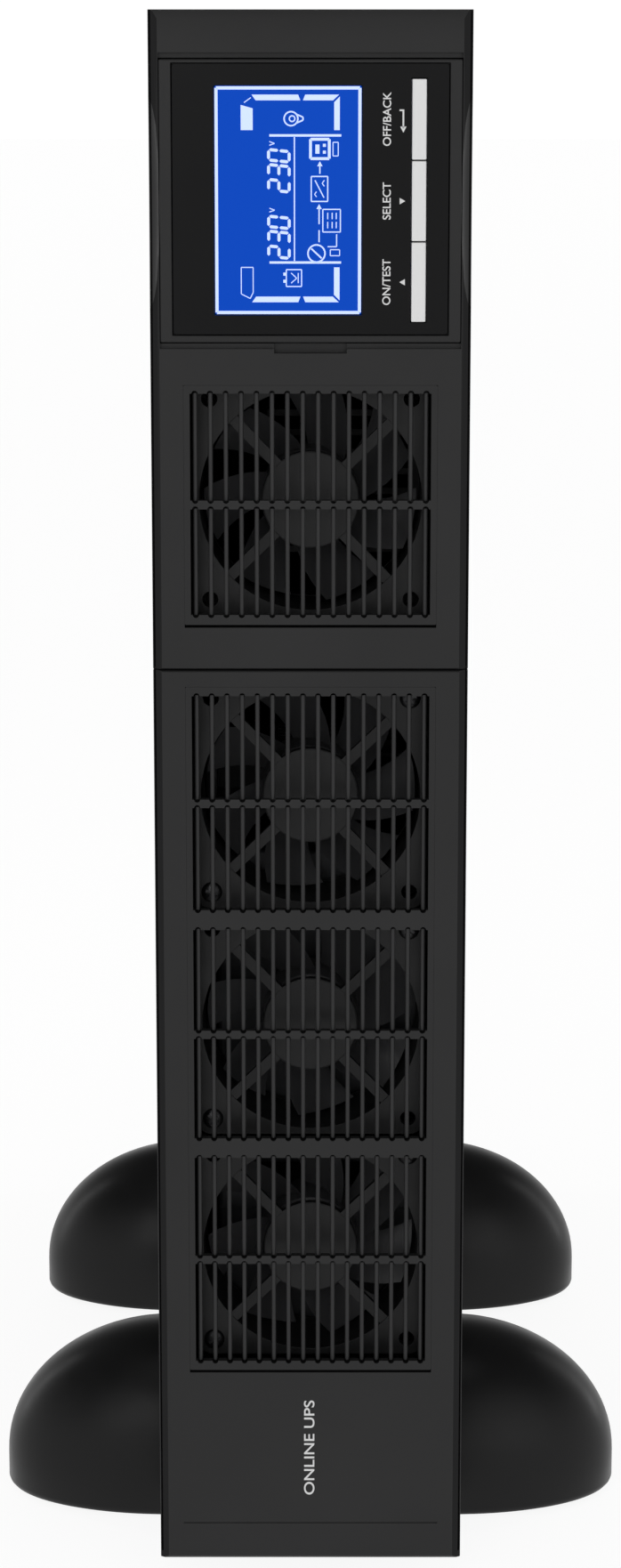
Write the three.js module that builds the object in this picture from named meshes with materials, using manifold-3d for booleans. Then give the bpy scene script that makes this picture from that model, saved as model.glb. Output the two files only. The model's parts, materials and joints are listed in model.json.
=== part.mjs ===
// A 2U rack/tower online uninterruptible power supply, standing upright on two tower stands.
// Millimetres. +Z is up, the front looks along -Y, and the object is centred on X = 0.
// The origin is at the middle of the footprint, on the surface that it stands on.

import * as THREE from 'three';
import { mergeVertices } from 'three/addons/utils/BufferGeometryUtils.js';
import Module from 'manifold-3d';

const wasm = await Module();
wasm.setup();

// ---------------------------------------------------------------- driving dimensions

const WIDTH = 86.5;
const HEIGHT = 438;
const DEPTH = 380;
const LIFT = 8;                      // underside of the body above the floor
const GAP = 0.3;                     // between pieces that touch
const SHEET = 1.2;                   // sheet steel
const WALL = 2.5;                    // moulded plastic

const FRONT = -DEPTH / 2;
const REAR = DEPTH / 2;
const PROUD = 0.6;                   // grille inserts stand this far out of the bezels
const FACE = FRONT + PROUD;          // front face of the bezels
const BEZEL_DEPTH = 36;
const BEZEL_BACK = FACE + BEZEL_DEPTH;
const BEVEL = 2.5;                   // along the bezels' long front edges
const SIDE_BEVEL_DEEP = 1.6;
const SEAM = 260.8;                  // height of the seam between the bezels
const REAR_FACE = REAR - 6;          // outside of the rear panel

const HALF = WIDTH / 2;
const STEEL_HALF = HALF - 0.65;      // the steel case is a little slimmer than the bezels
const STEEL_LOW = 0.6;
const STEEL_HIGH = HEIGHT - 0.6;
const STEEL_FRONT = BEZEL_BACK + GAP;
const STEEL_REAR = REAR_FACE - SHEET - GAP;

const FAN_SIZE = 64.6;
const FAN_DEPTH = 25;
const FAN_BORE = 30.6;
const BORE_SIDES = 36;
const FAN_BACK = STEEL_FRONT - GAP;
const FAN_PITCH = 66.2;
const LOW_FAN = 90.6;
const UPPER_FAN = 306.1;
const LOWER_FANS = [0, 1, 2].map((step) => LOW_FAN + FAN_PITCH * step);

const GRILLE_HALF = 34.4;
const GRILLE_THICK = 3;
const WINDOW_HEIGHT = 62.2;
const RIB_COUNT = 16;
const RIB_PITCH = 4.18;
const RIB_WIDTH = 1.25;
const CROSSBAR = 2;
const UPPER_INSERT = [272.9, 338.6];
const LOWER_INSERT = [57.4, 255.8];

const MODULE_HALF = 40.5;
const MODULE_LOW = 350.1;
const MODULE_HIGH = 425.1;
const MODULE_DEPTH = 20;
const RIM = 3.3;
const LCD_X = [-25.6, 13.6];
const LCD_Z = [357.7, 418.0];
const BUTTON_X = [27.1, 30.9];
const BUTTON_Z = [355.7, 419.9];
const BUTTON_SPACE = 0.4;

const DIVIDER = 262;                 // height of the shelf between the two bays

const FOOT_REACH = 93;               // foot tip from the middle plane
const FOOT_HALF_DEPTH = 30;
const FOOT_CREST = 53.8;
const FOOT_RIM = 12;
const PAD_THICK = 1.5;
const FRONT_STAND = FRONT + 76;
const STAND_SPACING = 178;

const BATTERY = { x: 65, y: 151, z: 94 };
const BATTERY_LEFT = -27;

// ---------------------------------------------------------------- finishes

const FINISH = {
  bezel: { color: 0x303031, roughness: 0.62, metalness: 0 },
  gloss: { color: 0x101011, roughness: 0.18, metalness: 0 },
  rib: { color: 0x38383a, roughness: 0.6, metalness: 0 },
  steel: { color: 0x242425, roughness: 0.55, metalness: 0.3 },
  zinc: { color: 0xa9acae, roughness: 0.45, metalness: 0.9 },
  fan: { color: 0x161617, roughness: 0.5, metalness: 0 },
  foot: { color: 0x1a1a1b, roughness: 0.5, metalness: 0 },
  rubber: { color: 0x0d0d0d, roughness: 0.9, metalness: 0 },
  screen: { color: 0x0d4fc8, roughness: 0.25, metalness: 0 },
  button: { color: 0xd6d6d6, roughness: 0.5, metalness: 0 },
  board: { color: 0x1d5a34, roughness: 0.5, metalness: 0 },
  aluminium: { color: 0xc4c6c8, roughness: 0.4, metalness: 0.9 },
  copper: { color: 0xa8623a, roughness: 0.4, metalness: 0.8 },
  capacitor: { color: 0x1c2233, roughness: 0.4, metalness: 0 },
  socket: { color: 0x0c0c0c, roughness: 0.45, metalness: 0 },
  shell: { color: 0xb9bcbf, roughness: 0.35, metalness: 0.9 },
  battery: { color: 0x2a2d31, roughness: 0.55, metalness: 0 },
  plug: { color: 0x8d2222, roughness: 0.5, metalness: 0 },
};

// ---------------------------------------------------------------- solid tools

function toSolid(geometry) {
  const bare = geometry.clone();
  bare.deleteAttribute('normal');
  bare.deleteAttribute('uv');
  const merged = mergeVertices(bare, 1e-4);
  const vertProperties = new Float32Array(merged.attributes.position.array);
  const triVerts = new Uint32Array(merged.index.array);
  return new wasm.Manifold(new wasm.Mesh({ numProp: 3, vertProperties, triVerts }));
}

function toGeometry(solid) {
  const mesh = solid.getMesh();
  const geometry = new THREE.BufferGeometry();
  geometry.setAttribute('position', new THREE.BufferAttribute(mesh.vertProperties, 3));
  geometry.setIndex(new THREE.BufferAttribute(mesh.triVerts, 1));
  geometry.computeVertexNormals();
  return geometry;
}

function join(...geometries) {
  const solids = geometries.map(toSolid);
  return toGeometry(solids.reduce((sum, solid) => sum.add(solid)));
}

function cut(geometry, ...tools) {
  const solids = tools.map(toSolid);
  return toGeometry(solids.reduce((rest, tool) => rest.subtract(tool), toSolid(geometry)));
}

function common(a, b) {
  return toGeometry(toSolid(a).intersect(toSolid(b)));
}

// Heights in this file are given above the body's underside. lift() turns them into Z.
function lift(height) {
  return LIFT + height;
}

// A box from its X and Y spans and its span of heights above the body's underside.
function block([x0, x1], [y0, y1], [h0, h1]) {
  const geometry = new THREE.BoxGeometry(x1 - x0, y1 - y0, h1 - h0);
  return geometry.translate((x0 + x1) / 2, (y0 + y1) / 2, lift((h0 + h1) / 2));
}

function around(middle, half) {
  return [middle - half, middle + half];
}

function outline(points) {
  return new THREE.Shape(points.map(([x, y]) => new THREE.Vector2(x, y)));
}

// An outline drawn in X and Z, drawn out along Y.
function prismY(shape, [y0, y1], curveSegments = 12) {
  const options = { depth: y1 - y0, bevelEnabled: false, curveSegments };
  return new THREE.ExtrudeGeometry(shape, options).rotateX(Math.PI / 2).translate(0, y1, 0);
}

// An outline drawn in X and Y, drawn up along Z.
function prismZ(shape, [z0, z1], curveSegments = 12) {
  const options = { depth: z1 - z0, bevelEnabled: false, curveSegments };
  return new THREE.ExtrudeGeometry(shape, options).translate(0, 0, z0);
}

// A round bar along Y, centred on x and z.
function barY(radius, [y0, y1], x, z, sides = 24) {
  const bar = new THREE.CylinderGeometry(radius, radius, y1 - y0, sides);
  return bar.translate(x, (y0 + y1) / 2, z);
}

const part = new THREE.Group();

function add(name, geometry, finish, position = [0, 0, 0]) {
  const mesh = new THREE.Mesh(geometry, new THREE.MeshStandardMaterial(FINISH[finish]));
  mesh.name = name;
  mesh.position.set(...position);
  part.add(mesh);
  return mesh;
}

// ---------------------------------------------------------------- steel case

function chassisPan() {
  const outer = block([-STEEL_HALF, STEEL_HALF], [STEEL_FRONT, STEEL_REAR], [STEEL_LOW, STEEL_HIGH]);
  const inner = block(
    [-STEEL_HALF - 1, STEEL_HALF - SHEET],
    [STEEL_FRONT - 1, STEEL_REAR + 1],
    [STEEL_LOW + SHEET, STEEL_HIGH - SHEET],
  );
  const coverSide = block(
    [-STEEL_HALF - 1, -STEEL_HALF + SHEET + GAP],
    [STEEL_FRONT - 1, STEEL_REAR + 1],
    [STEEL_LOW - 1, STEEL_HIGH + 1],
  );
  return cut(outer, inner, coverSide);
}

function sideCover() {
  const lipWidth = 9;
  const reach = [STEEL_FRONT, STEEL_REAR];
  const plate = block([-STEEL_HALF, -STEEL_HALF + SHEET], reach, [STEEL_LOW, STEEL_HIGH]);
  const lipX = [-STEEL_HALF + SHEET / 2, -STEEL_HALF + lipWidth];
  const lipTop = STEEL_HIGH - SHEET - GAP;
  const lipLow = STEEL_LOW + SHEET + GAP;
  const upperLip = block(lipX, reach, [lipTop - SHEET, lipTop]);
  const lowerLip = block(lipX, reach, [lipLow, lipLow + SHEET]);
  return join(plate, upperLip, lowerLip);
}

const INNER_HALF = STEEL_HALF - SHEET - GAP;
const LIP_LINE = STEEL_HIGH - 2 * SHEET - 2 * GAP;

function bayDivider() {
  const flange = 12;
  const reach = [STEEL_FRONT + SHEET + 2 * GAP, STEEL_REAR - GAP];
  const shelf = block([-INNER_HALF, INNER_HALF], reach, [DIVIDER, DIVIDER + SHEET]);
  const wall = block([INNER_HALF - SHEET, INNER_HALF], reach, [DIVIDER, DIVIDER + flange]);
  return join(shelf, wall);
}

function frontBulkhead() {
  const plateY = [STEEL_FRONT + GAP, STEEL_FRONT + GAP + SHEET];
  const plate = block([-INNER_HALF, INNER_HALF], plateY, [DIVIDER, LIP_LINE]);
  const through = [plateY[0] - 1, plateY[1] + 1];
  const airway = barY(FAN_BORE, through, 0, lift(UPPER_FAN), BORE_SIDES);
  const cableSlot = block([-14, 14], through, [385, 397]);
  return cut(plate, airway, cableSlot);
}

// Rear fittings: centre across and height, and the size of the hole in the rear panel.
const REAR_FITTINGS = {
  usb_port: { x: -29, h: 420, w: 12.6, t: 11.6 },
  serial_port: { x: 2, h: 420, w: 20, t: 11 },
  emergency_off_socket: { x: 31, h: 420, w: 12, t: 9 },
  network_jack: { x: -21, h: 398, w: 32, t: 14 },
  mains_inlet: { x: -21, h: 368, w: 28, t: 20.6 },
  breaker_body: { x: -21, h: 341, w: 17, t: 17 },
  outlet_block_1: { x: -21, h: 298, w: 30, t: 46 },
  outlet_block_2: { x: -21, h: 232, w: 30, t: 46 },
  card_slot_cover: { x: 20, h: 345, w: 32, t: 104 },
  external_battery_socket: { x: 20, h: 232, w: 36, t: 20 },
};
const VENT_ROWS = [62, 130];
const VENT_COUNT = 11;
const VENT_PITCH = 6.6;
const VENT_WIDTH = 3.6;
const VENT_HEIGHT = 58;

function rearPanel() {
  const plateY = [REAR_FACE - SHEET, REAR_FACE];
  const through = [plateY[0] - 1, plateY[1] + 1];
  const opening = (x, h, w, t) => block(around(x, w / 2), through, around(h, t / 2));
  const fittings = Object.values(REAR_FITTINGS).map(({ x, h, w, t }) => opening(x, h, w, t));
  const vents = VENT_ROWS.flatMap((h) => Array.from(
    { length: VENT_COUNT },
    (_, slot) => opening((slot - (VENT_COUNT - 1) / 2) * VENT_PITCH, h, VENT_WIDTH, VENT_HEIGHT),
  ));
  const sheet = block([-STEEL_HALF, STEEL_HALF], plateY, [STEEL_LOW, STEEL_HIGH]);
  return cut(sheet, ...fittings, ...vents);
}

// ---------------------------------------------------------------- bezels and grilles

function bezelBlock([h0, h1]) {
  const section = outline([
    [-HALF, BEZEL_BACK],
    [-HALF, FACE + SIDE_BEVEL_DEEP],
    [-HALF + BEVEL, FACE],
    [HALF - BEVEL, FACE],
    [HALF, FACE + SIDE_BEVEL_DEEP],
    [HALF, BEZEL_BACK],
  ]);
  return prismZ(section, [lift(h0), lift(h1)]);
}

function insertOpening([h0, h1]) {
  return block(around(0, GRILLE_HALF + GAP), [FACE - 1, FACE + WALL + 2], [h0 - GAP, h1 + GAP]);
}

// The hollow behind a bezel's face, up to its side, top and bottom walls.
function bezelHollow([h0, h1]) {
  return block(around(0, HALF - WALL), [FACE + WALL, BEZEL_BACK + 1], [h0 + WALL, h1 - WALL]);
}

function upperBezel() {
  const span = [SEAM, HEIGHT];
  const edge = lift(HEIGHT);
  const topBevel = prismZ(outline([
    [FACE - 1, edge - BEVEL - 1],
    [FACE + BEVEL + 1, edge + 1],
    [FACE - 1, edge + 1],
  ]), [-HALF - 1, HALF + 1]);
  // The wedge is drawn in (Y, Z) and runs along X.
  topBevel.applyMatrix4(new THREE.Matrix4().set(
    0, 0, 1, 0,
    1, 0, 0, 0,
    0, 1, 0, 0,
    0, 0, 0, 1,
  ));
  const moduleOpening = block(
    around(0, MODULE_HALF + GAP),
    [FACE - 1, FACE + WALL + 2],
    [MODULE_LOW - GAP, MODULE_HIGH + GAP],
  );
  const pryNotch = block([-9.8, 9.8], [FACE - 1, FACE + 1.5], [MODULE_LOW - 2.6, MODULE_LOW]);
  return cut(
    bezelBlock(span),
    topBevel,
    bezelHollow(span),
    moduleOpening,
    pryNotch,
    insertOpening(UPPER_INSERT),
  );
}

function lowerBezel() {
  const span = [0, SEAM - BUTTON_SPACE];
  return cut(bezelBlock(span), bezelHollow(span), insertOpening(LOWER_INSERT));
}

// A grille insert: a plate with two rows of slots in front of each fan.
function grille(span, fanHeights) {
  const plateY = [FRONT, FRONT + GRILLE_THICK];
  const through = [plateY[0] - 1, plateY[1] + 1];
  const slotHalf = (RIB_PITCH - RIB_WIDTH) / 2;
  const rowHalf = (WINDOW_HEIGHT - CROSSBAR) / 4;
  const slots = [];
  for (const fan of fanHeights) {
    for (const side of [-1, 1]) {
      const row = around(fan + side * (rowHalf + CROSSBAR / 2), rowHalf);
      for (let slot = 0; slot < RIB_COUNT - 1; slot += 1) {
        const x = (slot - (RIB_COUNT - 2) / 2) * RIB_PITCH;
        slots.push(block(around(x, slotHalf), through, row));
      }
    }
  }
  return cut(block(around(0, GRILLE_HALF), plateY, span), ...slots);
}

// ---------------------------------------------------------------- fans

const FAN_HUB = 13.5;
const FAN_STRUT = 2.5;               // depth of the struts and the motor plate
const BLADE_COUNT = 7;

// The square housing, drawn about the origin with its front at Y = 0.
function fanFrame() {
  const half = FAN_SIZE / 2;
  const corner = 3;
  const section = new THREE.Shape();
  section.moveTo(-half + corner, -half);
  section.lineTo(half - corner, -half);
  section.absarc(half - corner, -half + corner, corner, -Math.PI / 2, 0, false);
  section.lineTo(half, half - corner);
  section.absarc(half - corner, half - corner, corner, 0, Math.PI / 2, false);
  section.lineTo(-half + corner, half);
  section.absarc(-half + corner, half - corner, corner, Math.PI / 2, Math.PI, false);
  section.lineTo(-half, -half + corner);
  section.absarc(-half + corner, -half + corner, corner, Math.PI, Math.PI * 1.5, false);
  const screwAt = half - 4.6;
  const tube = cut(
    prismY(section, [0, FAN_DEPTH], 3),
    barY(FAN_BORE, [-1, FAN_DEPTH + 1], 0, 0, BORE_SIDES),
    ...[[-1, -1], [-1, 1], [1, -1], [1, 1]].map(
      ([sx, sz]) => barY(2.1, [-1, FAN_DEPTH + 1], sx * screwAt, sz * screwAt, 6),
    ),
  );
  const strut = (angle) => {
    const bar = new THREE.BoxGeometry(2 * (FAN_BORE + 1), FAN_STRUT, 3);
    return bar.translate(0, FAN_STRUT / 2, 0).rotateY(angle);
  };
  const motorPlate = barY(FAN_HUB + 0.5, [0, FAN_STRUT], 0, 0);
  return join(tube, motorPlate, strut(Math.PI / 4), strut(-Math.PI / 4));
}

// The hub and its pitched blades, drawn about the fan's axis with the housing's front at Y = 0.
function fanRotor() {
  const hubSpan = [FAN_STRUT + 0.8, FAN_DEPTH - 1.5];
  const bladeFrom = FAN_HUB - 2;
  const bladeTo = FAN_BORE - 1.6;
  const middle = (hubSpan[0] + hubSpan[1]) / 2;
  const blades = [];
  for (let index = 0; index < BLADE_COUNT; index += 1) {
    const blade = new THREE.BoxGeometry(bladeTo - bladeFrom, 1.2, 18);
    blade.rotateX(THREE.MathUtils.degToRad(38));
    blade.translate((bladeFrom + bladeTo) / 2, middle, 0);
    blade.rotateY((index * 2 * Math.PI) / BLADE_COUNT);
    blades.push(blade);
  }
  return join(barY(FAN_HUB, hubSpan, 0, 0), ...blades);
}

// ---------------------------------------------------------------- control panel

const WEB = [FACE + 2, FACE + 4];    // the panel frame's inner front web

function panelFrame() {
  const height = [MODULE_LOW, MODULE_HIGH];
  const body = block(around(0, MODULE_HALF), [FACE, FACE + MODULE_DEPTH], height);
  const pocket = block(
    around(0, MODULE_HALF - RIM),
    [FACE - 1, WEB[0]],
    [MODULE_LOW + 1.9, MODULE_HIGH - 0.9],
  );
  const hollow = block(
    around(0, MODULE_HALF - 2),
    [WEB[1], FACE + MODULE_DEPTH + 1],
    [MODULE_LOW + 2, MODULE_HIGH - 2],
  );
  const through = [FACE, WEB[1] + 1];
  const screenHole = block(
    [LCD_X[0] - 2 * GAP, LCD_X[1] + 2 * GAP],
    through,
    [LCD_Z[0] - 2 * GAP, LCD_Z[1] + 2 * GAP],
  );
  const buttonHole = block(
    [BUTTON_X[0] - 0.5, BUTTON_X[1] + 0.5],
    through,
    [BUTTON_Z[0] - 0.4, BUTTON_Z[1] + 0.4],
  );
  return cut(body, pocket, hollow, screenHole, buttonHole);
}

function displayWindow() {
  const plateY = [FACE + 0.2, WEB[0] - GAP];
  const through = [plateY[0] - 1, plateY[1] + 1];
  const plate = block(
    around(0, MODULE_HALF - RIM - GAP),
    plateY,
    [MODULE_LOW + 2.2, MODULE_HIGH - 1.2],
  );
  const screenHole = block(
    [LCD_X[0] - GAP, LCD_X[1] + GAP],
    through,
    [LCD_Z[0] - GAP, LCD_Z[1] + GAP],
  );
  const buttonHole = block(
    [BUTTON_X[0] - GAP, BUTTON_X[1] + GAP],
    through,
    [BUTTON_Z[0] - GAP, BUTTON_Z[1] + GAP],
  );
  return cut(plate, screenHole, buttonHole);
}

function lcdPanel() {
  return block(LCD_X, [FACE + 0.4, FACE + 9], LCD_Z);
}

const BOARD_Y = [FACE + 12, FACE + 13.6];

function panelBoard() {
  return block(around(0, MODULE_HALF - 3.5), BOARD_Y, [MODULE_LOW + 4, MODULE_HIGH - 4]);
}

// A long key: its face stands out of the window and a flange behind the web keeps it in.
function panelButton(heights) {
  const faceY = FACE - 0.4;
  const flangeY = [WEB[1] + GAP, WEB[1] + 1.5];
  const stemEnd = BOARD_Y[0] - 1.2;
  const flange = 1.3;
  const [x0, x1] = BUTTON_X;
  const section = outline([
    [x0, faceY],
    [x1, faceY],
    [x1, flangeY[0]],
    [x1 + flange, flangeY[0]],
    [x1 + flange, flangeY[1]],
    [x1, flangeY[1]],
    [x1, stemEnd],
    [x0, stemEnd],
    [x0, flangeY[1]],
    [x0 - flange, flangeY[1]],
    [x0 - flange, flangeY[0]],
    [x0, flangeY[0]],
  ]);
  return prismZ(section, heights.map(lift));
}

// ---------------------------------------------------------------- battery tray

const TRAY_LOW = STEEL_LOW + SHEET + 2.1;
const TRAY_WALL_TOP = TRAY_LOW + SHEET + 198;
const TRAY_REAR = 168;
const TRAY_FACE_Y = [STEEL_FRONT + GAP, STEEL_FRONT + GAP + SHEET];
const TRAY_HALF = INNER_HALF - 0.5;

function batteryTray() {
  const trayFront = TRAY_FACE_Y[1] + GAP;
  const outer = block([-TRAY_HALF, TRAY_HALF], [trayFront, TRAY_REAR], [TRAY_LOW, TRAY_WALL_TOP]);
  const inner = block(
    [-TRAY_HALF - 1, TRAY_HALF - SHEET],
    [trayFront - 1, TRAY_REAR - SHEET],
    [TRAY_LOW + SHEET, TRAY_WALL_TOP + 1],
  );
  return cut(outer, inner);
}

function trayFace() {
  const plate = block([-TRAY_HALF, TRAY_HALF], TRAY_FACE_Y, [TRAY_LOW, SEAM - 1.5]);
  const through = [TRAY_FACE_Y[0] - 1, TRAY_FACE_Y[1] + 1];
  const airways = LOWER_FANS.map((fan) => barY(FAN_BORE, through, 0, lift(fan), BORE_SIDES));
  return cut(plate, ...airways);
}

const HANDLE = { half: 32, bar: 6, reach: 17, height: 32 };

// A bow handle on two legs, standing off the tray's face.
function trayHandle() {
  const legY = [TRAY_FACE_Y[0] - GAP - HANDLE.reach, TRAY_FACE_Y[0] - GAP];
  const heights = around(HANDLE.height, HANDLE.bar);
  const bow = block([-HANDLE.half, HANDLE.half], legY, heights);
  const grip = block(
    around(0, HANDLE.half - HANDLE.bar),
    [legY[0] + HANDLE.bar, legY[1] + 1],
    [heights[0] - 1, heights[1] + 1],
  );
  return cut(bow, grip);
}

// A sealed 12 V block lying on its side, with two blade terminals on its upper face.
function battery() {
  const body = new THREE.BoxGeometry(BATTERY.x, BATTERY.y, BATTERY.z);
  const terminals = [-1, 1].map((side) => {
    const blade = new THREE.BoxGeometry(6.3, 0.8, 6);
    return blade.translate(side * 20, BATTERY.y / 2 - 8, BATTERY.z / 2 + 1.5);
  });
  return join(body, ...terminals);
}

function batteryPlug() {
  return block([-30, 4], [TRAY_FACE_Y[1] + 4, TRAY_FACE_Y[1] + 46], [212, 230]);
}

// ---------------------------------------------------------------- power electronics

const BOARD_X = [34, 35.6];

// A finned heatsink running along Y, standing on the main board.
function heatsink(length) {
  const fins = 8;
  const finPitch = 5.6;
  const base = 5;
  const reach = 46;
  const points = [[0, 0]];
  for (let fin = 0; fin < fins; fin += 1) {
    const z = fin * finPitch;
    points.push([-reach, z], [-reach, z + 1.8], [-base, z + 1.8]);
    if (fin < fins - 1) {
      points.push([-base, z + finPitch]);
    }
  }
  const top = (fins - 1) * finPitch + 1.8;
  points[points.length - 1] = [0, top];
  points.splice(points.length - 1, 0, [-reach, top]);
  const clean = points.filter(([x, z], index) => {
    const [px, pz] = points[(index + points.length - 1) % points.length];
    return x !== px || z !== pz;
  });
  return prismY(outline(clean), [0, length]);
}

function toroid(ringRadius, thickness) {
  return new THREE.TorusGeometry(ringRadius, thickness, 8, 18).rotateY(Math.PI / 2);
}

function capacitor(length) {
  return new THREE.CylinderGeometry(15, 15, length, 20).rotateZ(Math.PI / 2);
}

// ---------------------------------------------------------------- rear fittings

const INSIDE = REAR_FACE - SHEET - GAP;

// A flange on the outside of the rear panel and a body through its hole, with an optional cavity.
function rearFitting(name, { flange, flangeUp = flange, stand, inward, cavity = [] }) {
  const { x, h, w, t } = REAR_FITTINGS[name];
  const plateY = [REAR_FACE + 0.1, REAR_FACE + stand];
  const plate = block(around(x, w / 2 + flange), plateY, around(h, t / 2 + flangeUp));
  const bodyY = [INSIDE - inward, plateY[1] - stand / 2];
  const body = block(around(x, w / 2 - GAP), bodyY, around(h, t / 2 - GAP));
  const hollows = cavity.map(
    ({ dx, w: cw, t: ct, deep }) => block(
      around(x + dx, cw / 2),
      [plateY[1] - deep, plateY[1] + 1],
      around(h, ct / 2),
    ),
  );
  return cut(join(plate, body), ...hollows);
}

const FITTING_SHAPES = {
  usb_port: { flange: 0.8, stand: 1.2, inward: 12, cavity: [{ dx: 0, w: 8.6, t: 7.8, deep: 10 }] },
  serial_port: { flange: 5, flangeUp: 0.8, stand: 3, inward: 10 },
  emergency_off_socket: { flange: 0.8, stand: 2, inward: 8 },
  network_jack: {
    flange: 0.8,
    stand: 1.2,
    inward: 14,
    cavity: [{ dx: -8, w: 11.7, t: 7.6, deep: 12 }, { dx: 8, w: 11.7, t: 7.6, deep: 12 }],
  },
  mains_inlet: { flange: 2.4, stand: 2.4, inward: 22, cavity: [{ dx: 0, w: 24, t: 16.4, deep: 16 }] },
  outlet_block_1: { flange: 1.6, stand: 2.4, inward: 22 },
  outlet_block_2: { flange: 1.6, stand: 2.4, inward: 10 },
  external_battery_socket: {
    flange: 1.6,
    stand: 6,
    inward: 8,
    cavity: [{ dx: -8.4, w: 14, t: 13, deep: 9 }, { dx: 8.4, w: 14, t: 13, deep: 9 }],
  },
};

const BREAKER = REAR_FITTINGS.breaker_body;
const RESET_RADIUS = 4.6;

function breakerBody() {
  const z = lift(BREAKER.h);
  const collar = barY(12.2, [REAR_FACE + 0.1, REAR_FACE + 2.6], BREAKER.x, z);
  const neck = barY(7.6, [INSIDE - 2, REAR_FACE + 1], BREAKER.x, z);
  const box = block(around(BREAKER.x, 7.8), [INSIDE - 26, INSIDE - 1], around(BREAKER.h, 7.8));
  const bore = barY(RESET_RADIUS + GAP, [INSIDE - 12, REAR_FACE + 4], BREAKER.x, z);
  return cut(join(collar, neck, box), bore);
}

function resetButton() {
  return barY(RESET_RADIUS, [INSIDE - 11, REAR_FACE + 3.6], BREAKER.x, lift(BREAKER.h));
}

function cardSlotCover() {
  const { x, h, w, t } = REAR_FITTINGS.card_slot_cover;
  return block(around(x, w / 2 + 4), [REAR_FACE + 0.1, REAR_FACE + 1.3], around(h, t / 2 + 8));
}

// ---------------------------------------------------------------- tower stands

// One half of a stand: a half-dome beside the body and a tongue under it. side is -1 or 1.
function standFoot(side) {
  const inner = STEEL_HALF + GAP;
  const reach = FOOT_REACH - inner;
  const low = PAD_THICK + 0.2;
  const plan = new THREE.Shape();
  plan.moveTo(inner, -FOOT_HALF_DEPTH);
  plan.absellipse(inner, 0, reach, FOOT_HALF_DEPTH, -Math.PI / 2, Math.PI / 2, false);
  plan.lineTo(inner, -FOOT_HALF_DEPTH);
  const rim = prismZ(plan, [low, FOOT_RIM], 16);
  const ball = new THREE.SphereGeometry(1, 32, 16).rotateX(Math.PI / 2);
  ball.scale(reach, FOOT_HALF_DEPTH, FOOT_CREST - FOOT_RIM).translate(inner, 0, FOOT_RIM);
  const keep = new THREE.BoxGeometry(reach + 2, 2 * FOOT_HALF_DEPTH + 2, FOOT_CREST);
  keep.translate(inner + reach / 2 + 1, 0, FOOT_RIM - 0.5 + FOOT_CREST / 2);
  const dome = common(ball, keep);
  const tongueTop = lift(STEEL_LOW) - GAP;
  const tongue = new THREE.BoxGeometry(inner + 4 - GAP / 2, 40, tongueTop - low);
  tongue.translate((inner + 4 + GAP / 2) / 2, 0, (tongueTop + low) / 2);
  const foot = join(rim, dome, tongue);
  return side > 0 ? foot : foot.rotateZ(Math.PI);
}

function standPad() {
  const pad = new THREE.CylinderGeometry(9, 9, PAD_THICK, 24).rotateX(Math.PI / 2);
  return pad.translate(0, 0, PAD_THICK / 2);
}

// ---------------------------------------------------------------- assembly

add('chassis_pan', chassisPan(), 'steel');
add('side_cover', sideCover(), 'steel');
add('rear_panel', rearPanel(), 'steel');
add('front_bulkhead', frontBulkhead(), 'zinc');
add('bay_divider', bayDivider(), 'zinc');
add('upper_bezel', upperBezel(), 'bezel');
add('upper_grille', grille(UPPER_INSERT, [UPPER_FAN]), 'rib');
add('lower_bezel', lowerBezel(), 'bezel');
add('lower_grille', grille(LOWER_INSERT, LOWER_FANS), 'rib');

[UPPER_FAN, ...LOWER_FANS.toReversed()].forEach((height, index) => {
  const place = [0, FAN_BACK - FAN_DEPTH, lift(height)];
  add(`fan_frame_${index + 1}`, fanFrame(), 'fan', place);
  add(`fan_rotor_${index + 1}`, fanRotor(), 'fan', place);
});

add('panel_frame', panelFrame(), 'bezel');
add('display_window', displayWindow(), 'gloss');
add('lcd_panel', lcdPanel(), 'screen');
add('panel_board', panelBoard(), 'board');

const KEY_NAMES = ['button_on', 'button_select', 'button_off'];
const KEY_PITCH = (BUTTON_Z[1] - BUTTON_Z[0] + BUTTON_SPACE) / KEY_NAMES.length;
KEY_NAMES.forEach((name, index) => {
  const low = BUTTON_Z[0] + index * KEY_PITCH;
  add(name, panelButton([low, low + KEY_PITCH - BUTTON_SPACE]), 'button');
});

add('battery_tray', batteryTray(), 'zinc');
add('tray_face', trayFace(), 'steel');
add('tray_handle', trayHandle(), 'foot');
add('battery_plug', batteryPlug(), 'plug');

const BATTERY_GAP = 3;
for (let layer = 0; layer < 2; layer += 1) {
  for (let row = 0; row < 2; row += 1) {
    add(`battery_${layer * 2 + row + 1}`, battery(), 'battery', [
      BATTERY_LEFT + BATTERY.x / 2,
      TRAY_FACE_Y[1] + 3 + BATTERY.y / 2 + row * (BATTERY.y + BATTERY_GAP),
      lift(TRAY_LOW + SHEET + GAP + BATTERY.z / 2 + layer * (BATTERY.z + 7)),
    ]);
  }
}

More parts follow.
